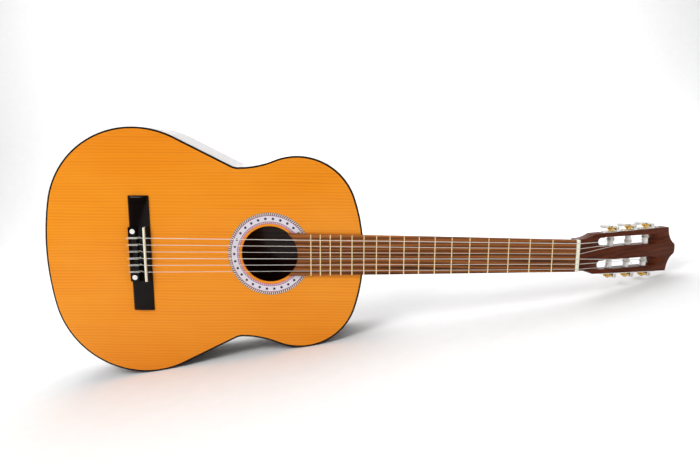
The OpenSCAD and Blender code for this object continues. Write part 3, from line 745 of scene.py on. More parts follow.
# ---- body -------------------------------------------------------------------------------
def soundboard():
    """The top plate with the sound hole and the groove that the rosette lies in."""
    rim = ccw(outline(BINDING_W))
    n = 128
    circles = {r: circle(HOLE_X, 0, r, n)[::-1] for r in (ROSETTE_OUT, ROSETTE_IN, HOLE_R)}
    verts, faces = [], []

    def add(loop, z):
        verts.extend((x, y, z) for x, y in loop)
        return list(range(len(verts) - len(loop), len(verts)))

    def wall(a, b):
        m = len(a)
        faces.extend((a[i], a[(i + 1) % m], b[(i + 1) % m], b[i]) for i in range(m))

    rim_top, rim_low = add(rim, 0), add(rim, -TOP_T)
    out_top, out_low = add(circles[ROSETTE_OUT], 0), add(circles[ROSETTE_OUT], -ROSETTE_T)
    in_low, in_top = add(circles[ROSETTE_IN], -ROSETTE_T), add(circles[ROSETTE_IN], 0)
    soft = 0.5
    edge = circle(HOLE_X, 0, HOLE_R + soft, n)[::-1]
    hole = [add(edge, 0), add(circles[HOLE_R], -soft), add(circles[HOLE_R], soft - TOP_T),
            add(edge, -TOP_T)]
    wall(rim_top, rim_low)
    faces += filled(verts, [rim_top, out_top])
    steps = [out_top, out_low, in_low, in_top, *hole]
    for a, b in zip(steps, steps[1:]):
        wall(a, b)
    faces += filled(verts, [rim_low, hole[3]])
    piece("top_plate", (verts, faces), "spruce", "spruce_top", "soundboard")
    ring = slab(circle(HOLE_X, 0, ROSETTE_OUT - 0.02, n), [circle(HOLE_X, 0, ROSETTE_IN + 0.02, n)],
                0.02 - ROSETTE_T, 0.03, 0.03, 1)
    piece("rosette_ring", ring, "rosette", "rosette_inlay", "rosette")


def band(path, section):
    """A strip along a path: section(point) gives the (inward, z) corners at a path point."""
    n = len(path)
    looped = hypot(path[0][0] - path[-1][0], path[0][1] - path[-1][1]) > 1
    rings = []
    for i, p in enumerate(path):
        before = Vector(path[(i - 1) % n] if looped or i else p)
        after = Vector(path[(i + 1) % n] if looped or i < n - 1 else p)
        run = (after - before).normalized()
        inward = Vector((run.y, -run.x))
        rings.append([(p[0] + d * inward.x, p[1] + d * inward.y, z) for d, z in section(p)])
    return rings


def rib(side):
    """One bent side with rabbets for both bindings; its map runs along the bend."""
    path = half_outline(0)

    def section(p):
        low = back_z(p[0])
        return [(0, -BINDING_H), (0, low + BINDING_H), (BINDING_W, low + BINDING_H),
                (BINDING_W, low + BACK_T), (RIB_T, low + BACK_T), (RIB_T, -TOP_T),
                (BINDING_W, -TOP_T), (BINDING_W, -BINDING_H)]

    rings = band(path, section)
    # The ends lie on the centre line.
    for ring in (rings[0], rings[-1]):
        ring[:] = [(x, 0.0, z) for x, y, z in ring]
    verts, faces = loft(rings)
    verts = [(x, side * y, z) for x, y, z in verts]
    half = "bass" if side > 0 else "treble"
    obj = piece(f"rib_bent_{half}", (verts, faces), "rib", "body_back", f"rib_{half}", sharp=40)
    run = [0.0]
    for a, b in zip(path, path[1:]):
        run.append(run[-1] + hypot(b[0] - a[0], b[1] - a[1]))
    corners = len(rings[0])
    layer = obj.data.uv_layers.new(name="along")
    for loop in obj.data.loops:
        k = loop.vertex_index
        layer.data[loop.index].uv = (run[k // corners] * MM, (verts[k][2] + side * 37) * MM)


def binding(name, node, heights):
    """A strip round the body's edge; heights(p) gives its lower and upper z at a point."""
    def section(p):
        low, high = heights(p)
        soft = 0.7
        outer = [(soft * (1 - cos(a)), high - soft * (1 - sin(a)))
                 for a in (0, pi / 6, pi / 3, pi / 2)]
        under = [(d, low + high - z) for d, z in reversed(outer)]
        if name == "binding_top":
            return [(0, low)] + outer + [(BINDING_W, high), (BINDING_W, low)]
        return under + [(0, high), (BINDING_W, high), (BINDING_W, low)]

    strip = loft(band(outline(0), section), loop=True)
    piece(name, strip, "binding", "binding_black", node, sharp=50)


def back_plate():
    """The back: flat at the rim and arched a little between, with both faces curved alike."""
    arch, columns, rows = 3.0, half_outline(BINDING_W), 12

    def bulge(x, y):
        half = max(1.0, between(columns, x) or 1.0)
        end = abs(2 * (x - TAIL_X - BINDING_W) / (BODY_LENGTH - 2 * BINDING_W) - 1)
        return arch * max(0, 1 - (y / half) ** 2) * max(0, 1 - end ** 4)

    grid = [[(x, y * (1 - j / rows)) for j in range(2 * rows + 1)] for x, y in columns[1:-1]]
    verts, faces = [], []
    for lift in (0.0, BACK_T):
        for row in grid:
            verts += [(x, y, back_z(x) + lift - bulge(x, y)) for x, y in row]
    n, m = len(grid), 2 * rows + 1
    for k in range(2):
        for i in range(n - 1):
            for j in range(m - 1):
                a = k * n * m + i * m + j
                faces.append((a, a + 1, a + m + 1, a + m))
    rim = ([i * m for i in range(n)] + [(n - 1) * m + j for j in range(1, m)]
           + [i * m + m - 1 for i in range(n - 2, -1, -1)] + [j for j in range(m - 2, 0, -1)])
    for a, b in zip(rim, rim[1:] + rim[:1]):
        faces.append((a, b, b + n * m, a + n * m))
    piece("back_arched", (verts, faces), "back", "body_back", "back_plate", sharp=40)


# ---- neck -------------------------------------------------------------------------------
SHAFT_NUT, SHAFT_HEEL = 15.0, 17.5
HEEL_FROM, HEEL_FOOT, CAP_T, CAP_HALF = -262.0, 12.0, 3.0, 13.0
NECK_PAST_JOINT = 2.6  # the neck's end, hidden between the body's ribs


def smooth(t):
    t = min(1.0, max(0.0, t))
    return t * t * (3 - 2 * t)


def heel_depth(x):
    """Depth of the neck at station x: a slight taper, then the hollow curve of the heel."""
    if x >= HEEL_FROM:
        return SHAFT_NUT + (SHAFT_HEEL - SHAFT_NUT) * x / HEEL_FROM
    cap_x = JOINT_X + HEEL_FOOT
    curve = [(HEEL_FROM, SHAFT_HEEL)] + bezier((HEEL_FROM, SHAFT_HEEL),
                                               (cap_x + 4, SHAFT_HEEL + 5),
                                               (cap_x, DEPTH_NECK - CAP_T), 60)
    return between(curve, x) or DEPTH_NECK - CAP_T


def heel_half(depth):
    """Half width of the heel at a depth: as the shaft at the top and narrow at the cap."""
    top, low = board_half(HEEL_FROM), DEPTH_NECK - CAP_T
    curve = [(3.0, top)] + bezier((3.0, top), (SHAFT_HEEL + 8, 15), (low, CAP_HALF), 60)
    return between(curve, depth) or (top if depth < 3 else CAP_HALF)


def neck_section(half, depth, squareness, steps=28):
    """Flat top and rounded back; squareness 2 is an ellipse and more is squarer."""
    heel = smooth((depth - SHAFT_HEEL) / 20)
    points = [(half, 0.0), (half, -2.0)]
    for k in range(1, steps):
        a = pi * k / steps
        z = 2.0 + (depth - 2.0) * sin(a) ** (2 / squareness)
        wide = half * (1 - heel) + heel * min(half, heel_half(z))
        points.append((wide * power(cos(a), 2 / squareness), -z))
    return points + [(-half, -2.0), (-half, 0.0)]


def crown():
    """Outline of the headstock: flare, straight sides, hollow corners and a low crown."""
    half = ([(0.0, NUT_WIDTH / 2)]
            + bezier((0, NUT_WIDTH / 2), (17, NUT_WIDTH / 2 - 0.5), (FLARE_S, FLARE_HALF), 12)
            + [(CORNER_S, HEAD_END_WIDTH / 2)]
            + bezier((CORNER_S, HEAD_END_WIDTH / 2), (CORNER_S + 2, 17), (CORNER_S + 13, 9.6), 14)
            + bezier((CORNER_S + 14.4, 9), (HEAD_LENGTH, 7), (HEAD_LENGTH, 0), 8))
    return half + [(x, -y) for x, y in half[-2::-1]]


def slot_outline(side):
    """A long slot, drawn to a blunt point at its nut end."""
    mid, r = side * (SLOT_IN + SLOT_OUT) / 2, (SLOT_OUT - SLOT_IN) / 2
    nose = [(SLOT_FROM + 12, mid + r), (SLOT_FROM + 5, mid + r * 0.86),
            (SLOT_FROM + 1, mid + r * 0.45), (SLOT_FROM, mid),
            (SLOT_FROM + 1, mid - r * 0.45), (SLOT_FROM + 5, mid - r * 0.86),
            (SLOT_FROM + 12, mid - r)]
    return nose + arc((SLOT_TO - r, mid), r, -pi / 2, pi / 2, 16)


def ramp_shape(side, s0, s1):
    """A round-bottomed groove that runs from the face at s0 down to mid-thickness at s1."""
    mid, r = side * (SLOT_IN + SLOT_OUT) / 2, (SLOT_OUT - SLOT_IN) / 2 - 0.6
    deep = HEAD_T * 0.62
    rings = []
    for t in (-0.35, 1.0):
        s, z = s0 + (s1 - s0) * t, r * 0.9 - deep * t
        rings.append([(s, y, z) for y, z in circle(mid, z, r, 32)])
    return loft(rings)


def neck():
    stations = [-8 - k * 12 for k in range(22)] + [HEEL_FROM - 1.5 * k for k in range(1, 45)]
    end = JOINT_X - NECK_PAST_JOINT
    stations = [x for x in stations if x > end] + [end]
    rings = []
    for x in reversed(stations):
        depth = heel_depth(x)
        squareness = 2.1 + 5.0 * smooth((depth - SHAFT_HEEL) / 25)
        rings.append([(x, y, z) for y, z in neck_section(board_half(x), depth, squareness)])
    # The root turns down with the headstock and ends inside it.
    for s, lift, squareness in ((-0.3, -0.1, 3.2), (7.0, -0.3, 9.0)):
        rings.append([tuple(HEAD @ Vector((s, y, z + lift)))
                      for y, z in neck_section(NUT_WIDTH / 2 - 0.2, HEAD_T - 0.6, squareness)])
    obj = make("neck_carved", *loft(rings), "neck", sharp=38)
    head = slab(crown(), [slot_outline(1), slot_outline(-1)], -HEAD_T, 0, 0.9)
    tip = make("head_blank", *head, "neck", STAND @ HEAD)
    cut(tip, [ramp_shape(side, s0, s1) for side in (1, -1)
              for s0, s1 in ((SLOT_FROM - 9, SLOT_FROM + 11), (SLOT_TO + 7, SLOT_TO - 9))],
        STAND @ HEAD)
    bores = [moved(lathe([(0, -BARREL_LEN - 0.6), (BARREL_R + 0.15, -BARREL_LEN - 0.6),
                          (BARREL_R + 0.15, 6), (0, 6)], 32),
                   tuner(i) @ OUTWARD) for i in range(1, 7)]
    cut(tip, bores)
    absorb(obj, tip)
    finish_piece(resmooth(obj, "neck", 38), BODY, "neck_wood", "neck")

    # The heel's cap continues its section at the level of the back.
    side = [(JOINT_X + x, CAP_HALF * sqrt(max(0.05, 1 - (x / (HEEL_FOOT + 1.5)) ** 4)))
            for x in (-NECK_PAST_JOINT, 3, 7, 10, HEEL_FOOT)]
    cap = slab(side + [(x, -y) for x, y in reversed(side)], [], -DEPTH_NECK, CAP_T - DEPTH_NECK, 0.5)
    piece("heel_cap_plate", cap, "binding", "binding_black", "heel_cap")


def fretboard():
    """The board, with its end cut along the sound hole."""
    end_x = HOLE_X + 28
    corner = board_half(end_x)
    a = asin(corner / HOLE_R)
    inner = arc((HOLE_X, 0), HOLE_R, a, -a, 40)
    far = max(end_x, inner[0][0])
    outer = [(0, -board_half(0)), (0, board_half(0)), (far, board_half(far))] + inner[1:-1]
    outer += [(far, -board_half(far))]
    piece("board_rosewood", slab(outer, [], 0.01, BOARD_T, 0.35, 2), "rosewood", "rosewood",
          "fretboard")


def nut_and_saddle():
    top = NUT_BOTTOM + 1.4
    rings = []
    for y, shrink in ((-NUT_WIDTH / 2, 0.6), (-NUT_WIDTH / 2 + 0.5, 0), (NUT_WIDTH / 2 - 0.5, 0),
                      (NUT_WIDTH / 2, 0.6)):
        profile = ([(0.0, 0.0), (0.0, top - 1.2)]
                   + [(1.2 * (1 - cos(a)), top - 1.2 * (1 - sin(a))) for a in (0.5, 1.0, 1.5)]
                   + [(NUT_LEN - 2.4, top - 0.2), (NUT_LEN - 0.8, top - 1.1), (NUT_LEN, top - 2.2),
                      (NUT_LEN, 0.0)])
        rings.append([(x, y, z - (shrink if z > 1 else 0)) for x, z in profile])
    nut = make("nut_carved", *loft(rings), "ivory", sharp=30)
    grooves = []
    for i in range(1, 7):
        r = STRING_R[i - 1] + 0.05
        z = NUT_BOTTOM + STRING_R[i - 1]
        round_low = [(nut_y(i) + r * cos(a), z + r * sin(a)) for a in
                     (pi, pi * 1.25, pi * 1.5, pi * 1.75, TAU)]
        profile = [(nut_y(i) - r, z + 3)] + round_low + [(nut_y(i) + r, z + 3)]
        grooves.append(loft([[(x, y, zz) for y, zz in profile] for x in (-1, NUT_LEN + 1)]))
    cut(nut, grooves)
    finish_piece(resmooth(nut, "ivory", 30), BODY, "ivory_plastic", "nut")

    bottom, high, half = SLOT_FLOOR + 0.05, SADDLE_BOTTOM - 0.02, TIE_LEN / 2
    soft = 1.0
    rings = []
    for y, drop in ((-half, 0.9), (-half + 0.5, 0.25), (-half + 1.5, 0), (half - 1.5, 0),
                    (half - 0.5, 0.25), (half, 0.9)):
        crest = [(SADDLE_X - SADDLE_T / 2 + soft * (1 - cos(a)), high - drop - soft * (1 - sin(a)))
                 for a in (0, 0.52, 1.05, pi / 2)]
        back = [(2 * SADDLE_X - x, z) for x, z in reversed(crest)]
        rings.append([(x, y, z) for x, z in
                      [(SADDLE_X - SADDLE_T / 2, bottom)] + crest + back
                      + [(SADDLE_X + SADDLE_T / 2, bottom)]])
    piece("saddle_bone", loft(rings), "ivory", "ivory_plastic", "saddle", sharp=40)


# ---- bridge -----------------------------------------------------------------------------
DOT_Y, DOT_R, DOT_DEPTH = 36, 4.0, 1.5


def at_dots(shape):
    """The shape at both pearl dots of the tie block, from the floor of their seats up."""
    return [moved(shape, Matrix.Translation((BRIDGE_BACK + 7, side * DOT_Y, TIE_H - DOT_DEPTH)))
            for side in (-1, 1)]


def bridge():
    """Crowned wings with hollowed ends, the saddle block and the tie block."""
    mid, half = (BRIDGE_FRONT + BRIDGE_BACK) / 2, (BRIDGE_FRONT - BRIDGE_BACK) / 2
    end = BRIDGE_LEN / 2
    rings = []
    tail = ((end, 0.42), (end - 0.5, 0.66), (end - 1.5, 0.86), (end - 3.5, 1.0), (end - 14, 1.0))
    for y, rise in (*((-y, rise) for y, rise in tail), *tail[::-1]):
        profile = [(mid - half, 0.0)]
        for k in range(17):
            a = -1 + k / 8
            edge = 1 - 0.35 * a ** 2 - 0.35 * abs(a) ** 14
            profile.append((mid + a * half, WING_H * edge * rise))
        profile.append((mid + half, 0.0))
        rings.append([(x, y, z) for x, z in profile])
    obj = make("bridge_carved", *loft(rings), "ebony", sharp=35)
    t, low = TIE_LEN / 2, 0.5
    block = box_shape(BRIDGE_BACK + 0.05, TIE_X, -t, t, low, TIE_H, 0.6)
    seat_rings = []
    for y in (-t, -t + 0.4, t - 0.4, t):
        soft = 0.4 if abs(y) > t - 0.1 else 0.0
        seat_rings.append([(x, y, z - (soft if z > 1 else 0)) for x, z in (
            (TIE_X - 1, low), (TIE_X - 1, SLOT_FLOOR), (SADDLE_X - 3.5, SLOT_FLOOR),
            (SADDLE_X - 3.4, SADDLE_BLOCK_H - 0.3), (SADDLE_X - 3.0, SADDLE_BLOCK_H),
            (SADDLE_X + 2.6, SADDLE_BLOCK_H), (SADDLE_X + 3.2, SADDLE_BLOCK_H - 0.3),
            (BRIDGE_FRONT - 0.4, WING_H - 1.2), (BRIDGE_FRONT - 0.1, low))])
    cut(obj, [block, loft(seat_rings)], operation="UNION")
    tools = [box_shape(TIE_X, SADDLE_X - 3.5, -t - 0.01, t + 0.01, SLOT_FLOOR, 20, 0.05),
             box_shape(SADDLE_X - SADDLE_T / 2 - 0.03, SADDLE_X + SADDLE_T / 2 + 0.03, -t - 1, t + 1,
                       SLOT_FLOOR, 20, 0.02)]
    for i in range(1, 7):
        hole = lathe([(0, 0), (0.95, 0), (0.95, 18), (0, 18)], 16)
        place = (Matrix.Translation((BRIDGE_BACK - 2, saddle_y(i), TIE_HOLE_Z))
                 @ Matrix.Rotation(pi / 2, 4, "Y"))
        tools.append(moved(hole, place))
    cut(obj, tools + at_dots(lathe([(0, 0), (DOT_R + 0.02, 0), (DOT_R + 0.02, 8), (0, 8)], 40)))
    finish_piece(resmooth(obj, "ebony", 35), BODY, "ebonised_wood", "bridge")
    dot = lathe([(0, 0), (3.95, 0), (3.95, 1.45), (3.6, 1.7), (2.4, 1.95), (0, 2.05)], 40)
    piece("dots_domed", joined(at_dots(dot)), "pearl", "pearl_plastic", "bridge_dots")


# ---- strings ----------------------------------------------------------------------------
def roller_touch(i):
    """Where string i first touches its roller, in the guitar's axes."""
    side, r = side_of(i), STRING_R[i - 1]
    s0 = FIRST_ROLLER + station_of(i) * ROLLER_PITCH
    z0 = NUT_BOTTOM + r
    start = Vector((-z0 * sin(HEAD_TILT), z0 * cos(HEAD_TILT)))
    centre = Vector((s0 + (head_half(s0) - ROLLER_Y[i - 1]) * tan(SIDE_ANGLE), -HEAD_T / 2))
    reach = BARREL_R + r + 0.1
    d = centre - start
    a = angle_of(d) + asin(reach / d.length)
    p = start + sqrt(d.length ** 2 - reach ** 2) * Vector((cos(a), sin(a)))
    return HEAD @ Vector((p.x, side * ROLLER_Y[i - 1], p.y))


def tie(i):
    """Points from the string's free end, round itself at the front of the tie block, back over
    the block and through its hole."""
    r, y = STRING_R[i - 1], saddle_y(i)
    top, back, front = TIE_H + r, BRIDGE_BACK - r, TIE_X + r
    tail = [(back - 3.5, y - 1.6, top - 2.8), (back - 0.8, y - 1.5, top - 0.7),
            (back + 1.5, y - 1.4, top + 0.05), (front - 4, y - 1.2, top + 0.05),
            (front - 0.6, y - 1.3, top - 0.1), (front + 0.6, y - 1.2, TIE_HOLE_Z + 2.6)]
    knot = [(front + 1.6, y - 2 * r - 0.1, TIE_HOLE_Z + 0.9), (front + 2.0, y, TIE_HOLE_Z - r),
            (front + 1.7, y + 2 * r + 0.1, TIE_HOLE_Z + 0.9), (front + 0.9, y + r, TIE_HOLE_Z + 2.9)]
    over = [(front - 0.4, y + 0.5, top - 0.1), (front - 3, y + 0.5, top + 0.05),
            (back + 2, y + 0.2, top + 0.05), (back + 0.3, y, top - 0.1),
            (back - 0.1, y, top - 0.9), (back - 0.1, y, TIE_HOLE_Z + 0.7),
            (back + 0.9, y, TIE_HOLE_Z)]
    return tail + knot + over


def soft_path(points):
    """Corner cutting, twice: each time a corner becomes two points on its sides."""
    for _ in range(2):
        out = [points[0]]
        for a, b in zip(points, points[1:]):
            a, b = Vector(a), Vector(b)
            out += [tuple(a.lerp(b, 0.25)), tuple(a.lerp(b, 0.75))]
        points = out + [points[-1]]
    return points


def strings():
    for i in range(1, 7):
        r, y = STRING_R[i - 1], saddle_y(i)
        main = [(TIE_X + 0.7, y, TIE_HOLE_Z),
                (SADDLE_X - SADDLE_T / 2 - 0.3, y, SADDLE_BOTTOM + r * 0.7),
                (SADDLE_X, y, SADDLE_BOTTOM + r), (-0.2, nut_y(i), NUT_BOTTOM + r),
                (NUT_LEN, nut_y(i), NUT_BOTTOM + r), tuple(roller_touch(i))]
        look = "nylon" if i < 4 else "wound"
        obj = wire(f"string_drawn_{i}", soft_path(tie(i)) + main, r, look)
        finish_piece(obj, BODY, "nylon_treble" if i < 4 else "nylon_bass", f"string_{i}")
        winding(i, r, look)


def winding(i, r, look):
    """The turns on the roller, its free end included; they turn with the roller."""
    local = tuner(i).inverted() @ roller_touch(i)
    reach = hypot(local.x, local.z)
    start, turns, per_turn = atan2(local.z, local.x), 3.25, 24
    points = []
    for k in range(ceil(turns * per_turn) + 1):
        t = k / per_turn
        a = start - TAU * t
        points.append((reach * cos(a), local.y + 2.15 * r * t, reach * sin(a)))
    last = Vector(points[-1])
    out = Vector((cos(start - TAU * turns), 0, sin(start - TAU * turns)))
    points += [tuple(last + out * away + Vector((0, rise, 0)))
               for away, rise in ((1.2, 0.8), (5, 2.0), (8.5, 4.5))]
    obj = wire(f"winding_{i}", points, r, look, STAND @ tuner(i))
    finish_piece(obj, f"string_roller_{i}", "nylon_treble" if i < 4 else "nylon_bass")


# ---- tuning machines ----------------------------------------------------------------------
PITCH_R = GEAR_TEETH * GEAR_MODULE / 2
THREAD_PITCH = pi * GEAR_MODULE
WORM_PITCH_R = WORM_GAP - PITCH_R
TOOTH_HALF = THREAD_PITCH / 4 - 0.1
FLANK = tan(radians(20))
TOOTH_IN, TOOTH_OUT = 0.95, 0.75  # a gear tooth's foot and tip from its pitch circle
SHAFT_R = 1.5
BUTTON_FROM, BUTTON_TO, BUTTON_WIDE, BUTTON_THICK = -29.5, -12.5, 7.0, 3.8


def gear_ring(shrink):
    """Outline of the gear wheel; one gap faces the worm, along x."""
    points = []
    for k in range(GEAR_TEETH):
        middle = (k + 0.5) * TAU / GEAR_TEETH
        for flank, r in ((-1, PITCH_R - TOOTH_IN), (-1, PITCH_R + TOOTH_OUT),
                         (1, PITCH_R + TOOTH_OUT), (1, PITCH_R - TOOTH_IN)):
            half = TOOTH_HALF - (r - PITCH_R) * FLANK
            points.append((middle + flank * half / r, r - shrink))
    return points


def gear(i):
    twist = THREAD_PITCH / (TAU * WORM_PITCH_R) / PITCH_R
    rings = []
    for z, shrink in ((-GEAR_T / 2, 0.25), (-GEAR_T / 2 + 0.25, 0), (0, 0), (GEAR_T / 2 - 0.25, 0),
                      (GEAR_T / 2, 0.25)):
        rings.append([(r * cos(a + twist * z), r * sin(a + twist * z), GEAR_Y + z)
                      for a, r in gear_ring(shrink)])
    hub = lathe([(0, 1.45), (3.8, 1.45), (3.8, GEAR_Y - GEAR_T / 2 + 0.05), (0, GEAR_Y - 1.5)])
    spindle = lathe([(0, 1 - BARREL_LEN), (2.45, 1 - BARREL_LEN), (2.45, 1.6), (0, 1.6)])
    collar = lathe([(0, GEAR_Y + 1.7), (3.9, GEAR_Y + 1.7), (3.9, GEAR_Y + 2.05), (3.6, GEAR_Y + 2.2),
                    (0, GEAR_Y + 2.2)])
    place, body = STAND @ tuner(i) @ OUTWARD, f"string_roller_{i}"
    piece(f"gear_wheel_{i}", joined([loft(rings), hub, spindle, collar]), "brass", "gear_brass",
          f"gear_{i}", body=body, place=place)
    z = GEAR_Y + 2.15
    screw = make(f"gear_screw_{i}", *lathe([(0, z), (3.0, z), (3.0, z + 0.45), (2.75, z + 0.95),
                                            (2.1, z + 1.4), (1.1, z + 1.65), (0, z + 1.7)]),
                 "steel", place)
    cut(screw, [box_shape(-4, 4, -0.4, 0.4, z + 0.85, z + 3, 0.02)], place)
    finish_piece(resmooth(screw, "steel"), body, "nickel")


def worm_place(i):
    return STAND @ tuner(i) @ Matrix.Translation((WORM_GAP, GEAR_Y, 0))


def worm(i):
    """One helical thread between two collars, on a shaft that ends in the button."""
    around, steps, length = 30, 96, 9.0
    tip, root = WORM_PITCH_R + 0.65, WORM_PITCH_R - 0.95
    rings = []
    for k in range(steps + 1):
        z = length * (k / steps - 0.5)
        ring = []
        for j in range(around):
            a = TAU * (j / around - 0.5)
            along = abs(a) / TAU * THREAD_PITCH
            r = min(tip, max(root, WORM_PITCH_R + (TOOTH_HALF - along) / FLANK))
            turn = pi + a + TAU * z / THREAD_PITCH
            ring.append((r * cos(turn), r * sin(turn), z))
        rings.append(ring)
    half = length / 2
    parts = [loft(rings),
             lathe([(0, -20), (1.3, -20), (SHAFT_R, -19.8), (SHAFT_R, -half - 0.2),
                    (0, -half - 0.2)], 24),
             lathe([(0, half), (SHAFT_R, half), (SHAFT_R, 7.8), (1.1, 8.2), (0, 8.2)], 24),
             lathe([(0, 0.1 - LUG_Z), (2.1, 0.1 - LUG_Z), (2.3, 0.3 - LUG_Z), (2.3, -half),
                    (1.8, -half + 0.2), (0, -half + 0.2)], 24),
             lathe([(0, half - 0.2), (1.8, half - 0.2), (2.3, half), (2.3, LUG_Z - 0.3),
                    (2.1, LUG_Z - 0.1), (0, LUG_Z - 0.1)], 24)]
    piece(f"worm_shaft_{i}", joined(parts), "nickel", "nickel", f"worm_{i}",
          body=f"tuner_shaft_{i}", place=worm_place(i), sharp=45)


def button(i):
    """A flattened pearl knob that flares out of a round collar."""
    shape = ((0.00, 0.05, 0.05), (0.02, 0.42, 0.40), (0.06, 0.68, 0.66), (0.13, 0.88, 0.86),
             (0.24, 0.99, 0.98), (0.36, 1.00, 1.00), (0.46, 0.95, 0.96), (0.55, 0.82, 0.86),
             (0.63, 0.62, 0.78), (0.70, 0.46, 0.74), (0.78, 0.41, 0.74), (0.93, 0.41, 0.74),
             (0.98, 0.38, 0.70), (1.00, 0.30, 0.54))
    rings = []
    for t, wide, thick in shape:
        z = BUTTON_FROM + (BUTTON_TO - BUTTON_FROM) * t
        wide, thick = BUTTON_WIDE * wide, BUTTON_THICK * thick
        rings.append([(wide * power(cos(a), 0.8), thick * power(sin(a), 0.8), z)
                      for a in (TAU * k / 40 for k in range(40))])
    obj = make(f"button_pearl_{i}", *loft(rings), "pearl", worm_place(i), sharp=60)
    change = obj.modifiers.new("round", "SUBSURF")
    change.levels = change.render_levels = 1
    apply_modifiers(obj)
    finish_piece(obj, f"tuner_shaft_{i}", "pearl_plastic", f"button_{i}")


def roller(i):
    """White barrel with a ring at its inner end and a cross hole for the string."""
    r, n = BARREL_R, BARREL_LEN
    barrel = lathe([(0, -n), (r - 0.5, -n), (r, 0.5 - n), (r, 1.6 - n), (r - 0.35, 1.9 - n),
                    (r - 0.35, -1.6), (r, -1.2), (r, -0.45), (r - 0.15, -0.3), (0, -0.3)])
    place = STAND @ tuner(i) @ OUTWARD
    obj = make(f"roller_barrel_{i}", *barrel, "white", place)
    local = tuner(i).inverted() @ roller_touch(i)
    hole = lathe([(0, -7), (1.1, -7), (1.1, 7), (0, 7)], 20)
    across = (Matrix.Translation((0, 0, local.y + 7.5 * STRING_R[i - 1]))
              @ Matrix.Rotation(pi / 2, 4, "Y"))
    cut(obj, [moved(hole, across)], place)
    finish_piece(resmooth(obj, "white"), f"string_roller_{i}", "white_plastic", f"roller_{i}")


def plate_outline():
    """The machine plate: rounded ends and a shallow hollow between neighbouring machines."""
    half, steps = PLATE_H / 2, 57
    upper = []
    for k in range(steps + 1):
        x = PLATE_HALF * (1 - 2 * k / steps)
        hollow = 1.9 * sin(pi * x / ROLLER_PITCH) ** 8 if abs(x) < PLATE_HALF - 4 else 0
        end = max(0.0, abs(x) - PLATE_HALF + 4)
        upper.append((x, half - hollow - (4 - sqrt(max(0.0, 16 - end * end)))))
    return upper + [(x, -z) for x, z in reversed(upper)]


def tuner_plate(side):
    """One plate with six bent lugs that hold the worm shafts, and holes for its four screws."""
    place = STAND @ side_frame(side, FIRST_ROLLER + ROLLER_PITCH)
    flat = slab(plate_outline(), [circle(a, 0, 1.3, 20) for a in SCREW_A], 0, PLATE_T, 0.25, 2)
    lugs = []
    for k in (-1, 0, 1):
        for z in (LUG_Z, -LUG_Z - LUG_T):
            x = k * ROLLER_PITCH + WORM_GAP
            outer = ([(x - LUG_R, PLATE_T - 0.3), (x + LUG_R, PLATE_T - 0.3)]
                     + arc((x, GEAR_Y), LUG_R, 0, pi, 16))
            lugs.append(slab(outer, [circle(x, GEAR_Y, SHAFT_R + 0.08, 24)], z, z + LUG_T, 0.2, 2))
    half = "bass" if side > 0 else "treble"
    piece(f"machine_plate_{half}", joined([moved(flat, OUTWARD)] + lugs), "nickel", "nickel",
          f"tuner_plate_{half}", place=place)


def plate_screws():
    head = [(0, PLATE_T + 0.02), (2.7, PLATE_T + 0.02), (2.7, PLATE_T + 0.25), (2.3, PLATE_T + 0.8),
            (1.5, PLATE_T + 1.25), (0.7, PLATE_T + 1.45), (0, PLATE_T + 1.5)]
    shank = [(0, -4.5), (0.3, -4.4), (1.15, -3.0), (1.2, PLATE_T + 0.1), (0, PLATE_T + 0.1)]
    parts = []
    for side in (-1, 1):
        place = STAND @ side_frame(side, FIRST_ROLLER + ROLLER_PITCH)
        for a in SCREW_A:
            here = place @ Matrix.Translation((a, 0, 0)) @ OUTWARD
            screw = make("screw", *lathe(head, 28), "nickel", here)
            turned = here @ Matrix.Rotation(a, 4, "Z")
            cut(screw, [box_shape(-2.0, 2.0, -0.3, 0.3, PLATE_T + 0.8, PLATE_T + 4, 0.02),
                        box_shape(-0.3, 0.3, -2.0, 2.0, PLATE_T + 0.8, PLATE_T + 4, 0.02)], turned)
            parts += [screw, make("pin", *lathe(shank, 16), "nickel", here)]
    whole = parts[0]
    absorb(*parts)
    whole.name = "screws_domed"
    finish_piece(resmooth(whole, "nickel"), BODY, "nickel", "plate_screws")


# ---- CAD nodes that keep their shape --------------------------------------------------------
def kept_nodes():
    inside = ("top_linings", "back_linings", "neck_block", "tail_block", "fan_braces",
              "harmonic_bars", "back_braces")
    for node, look in (*((node, "inner") for node in inside), ("frets", "fret"),
                       ("bridge_bolts", "steel"), ("bridge_nuts", "nickel")):
        dress(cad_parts[node], look)


# ---- studio -----------------------------------------------------------------------------
def surround():
    """A pale room: bright above and behind, darker in front, where the lacquer mirrors it."""
    world = bpy.data.worlds.new("surround")
    bpy.context.scene.world = world
    s = Nodes(world)
    x, y, z = s.split(s.coords("Generated"))
    room, light = s.tree.nodes["Background"].inputs[:2]
    s.join(s.ramp(y * 0.5 + 0.5, [(0.0, (0.16, 0.16, 0.165)), (0.75, (1, 1, 1))]), room)
    light.default_value = 0.72


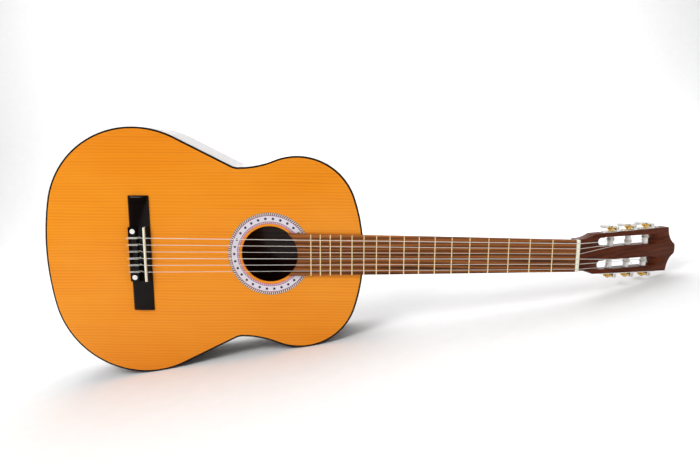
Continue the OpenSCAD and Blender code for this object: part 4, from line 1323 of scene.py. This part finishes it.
def studio():
    """A white sweep with a key light from the upper left, a fill, a top light and a wall light."""
    bpy.context.scene.view_settings.view_transform = "Standard"
    front, rise, radius, half = -3.0, 1.6, 1.0, 4.0
    profile = [(front, 0.0), (rise, 0.0)]
    profile += [(rise + radius * sin(a), radius * (1 - cos(a))) for a in
                (k * pi / 32 for k in range(1, 17))]
    profile += [(rise + radius, 4.0)]
    rings = [[(x, y, z) for y, z in profile] for x in (-half, half)]
    sweep = make("studio_sweep", *loft(rings, closed=False, caps=False), "paper", Matrix())
    surround()
    guitar, wall = (-0.05, 0, 0.12), (0, 2.6, 0.9)
    for name, where, target, size, power in (("key", (-1.2, -1.7, 1.9), guitar, 1.2, 37.0),
                                             ("fill", (1.6, -1.6, 1.1), guitar, 1.6, 5.0),
                                             ("top", (0.1, 0.9, 2.4), guitar, 2.4, 34.0),
                                             ("wall", (0.0, 0.9, 1.7), wall, 2.6, 50.0)):
        data = bpy.data.lights.new(name, "AREA")
        data.size, data.energy = size, power
        lamp = add_object(name, data)
        lamp.location = where
        aim = Vector(target) - Vector(where)
        lamp.rotation_euler = aim.to_track_quat("-Z", "Y").to_euler()


def camera():
    """Seen from the front and a little above, with the camera rolled so that the neck is level."""
    data = bpy.data.cameras.new("camera")
    data.lens, data.sensor_width = 28.8, 36.0
    obj = add_object("camera", data)
    bpy.context.scene.camera = obj
    eye = Vector((0.0095, -0.8921, 0.3033))
    down, aside, roll = radians(9.35), radians(2.2), radians(10.0)
    look = (Matrix.Rotation(aside, 4, "Z") @ Matrix.Rotation(pi / 2 - down, 4, "X")
            @ Matrix.Rotation(-roll, 4, "Z"))
    obj.matrix_world = Matrix.Translation(eye) @ look


# ---- making -----------------------------------------------------------------------------
camera()
studio()
kept_nodes()
soundboard()
back_plate()
rib(1)
rib(-1)
binding("binding_top", "top_binding", lambda p: (-BINDING_H, 0.0))
binding("binding_back", "back_binding", lambda p: (back_z(p[0]), back_z(p[0]) + BINDING_H))
neck()
fretboard()
nut_and_saddle()
bridge()
strings()
for number in range(1, 7):
    gear(number)
    worm(number)
    button(number)
    roller(number)
tuner_plate(1)
tuner_plate(-1)
plate_screws()

bpy.context.view_layer.update()
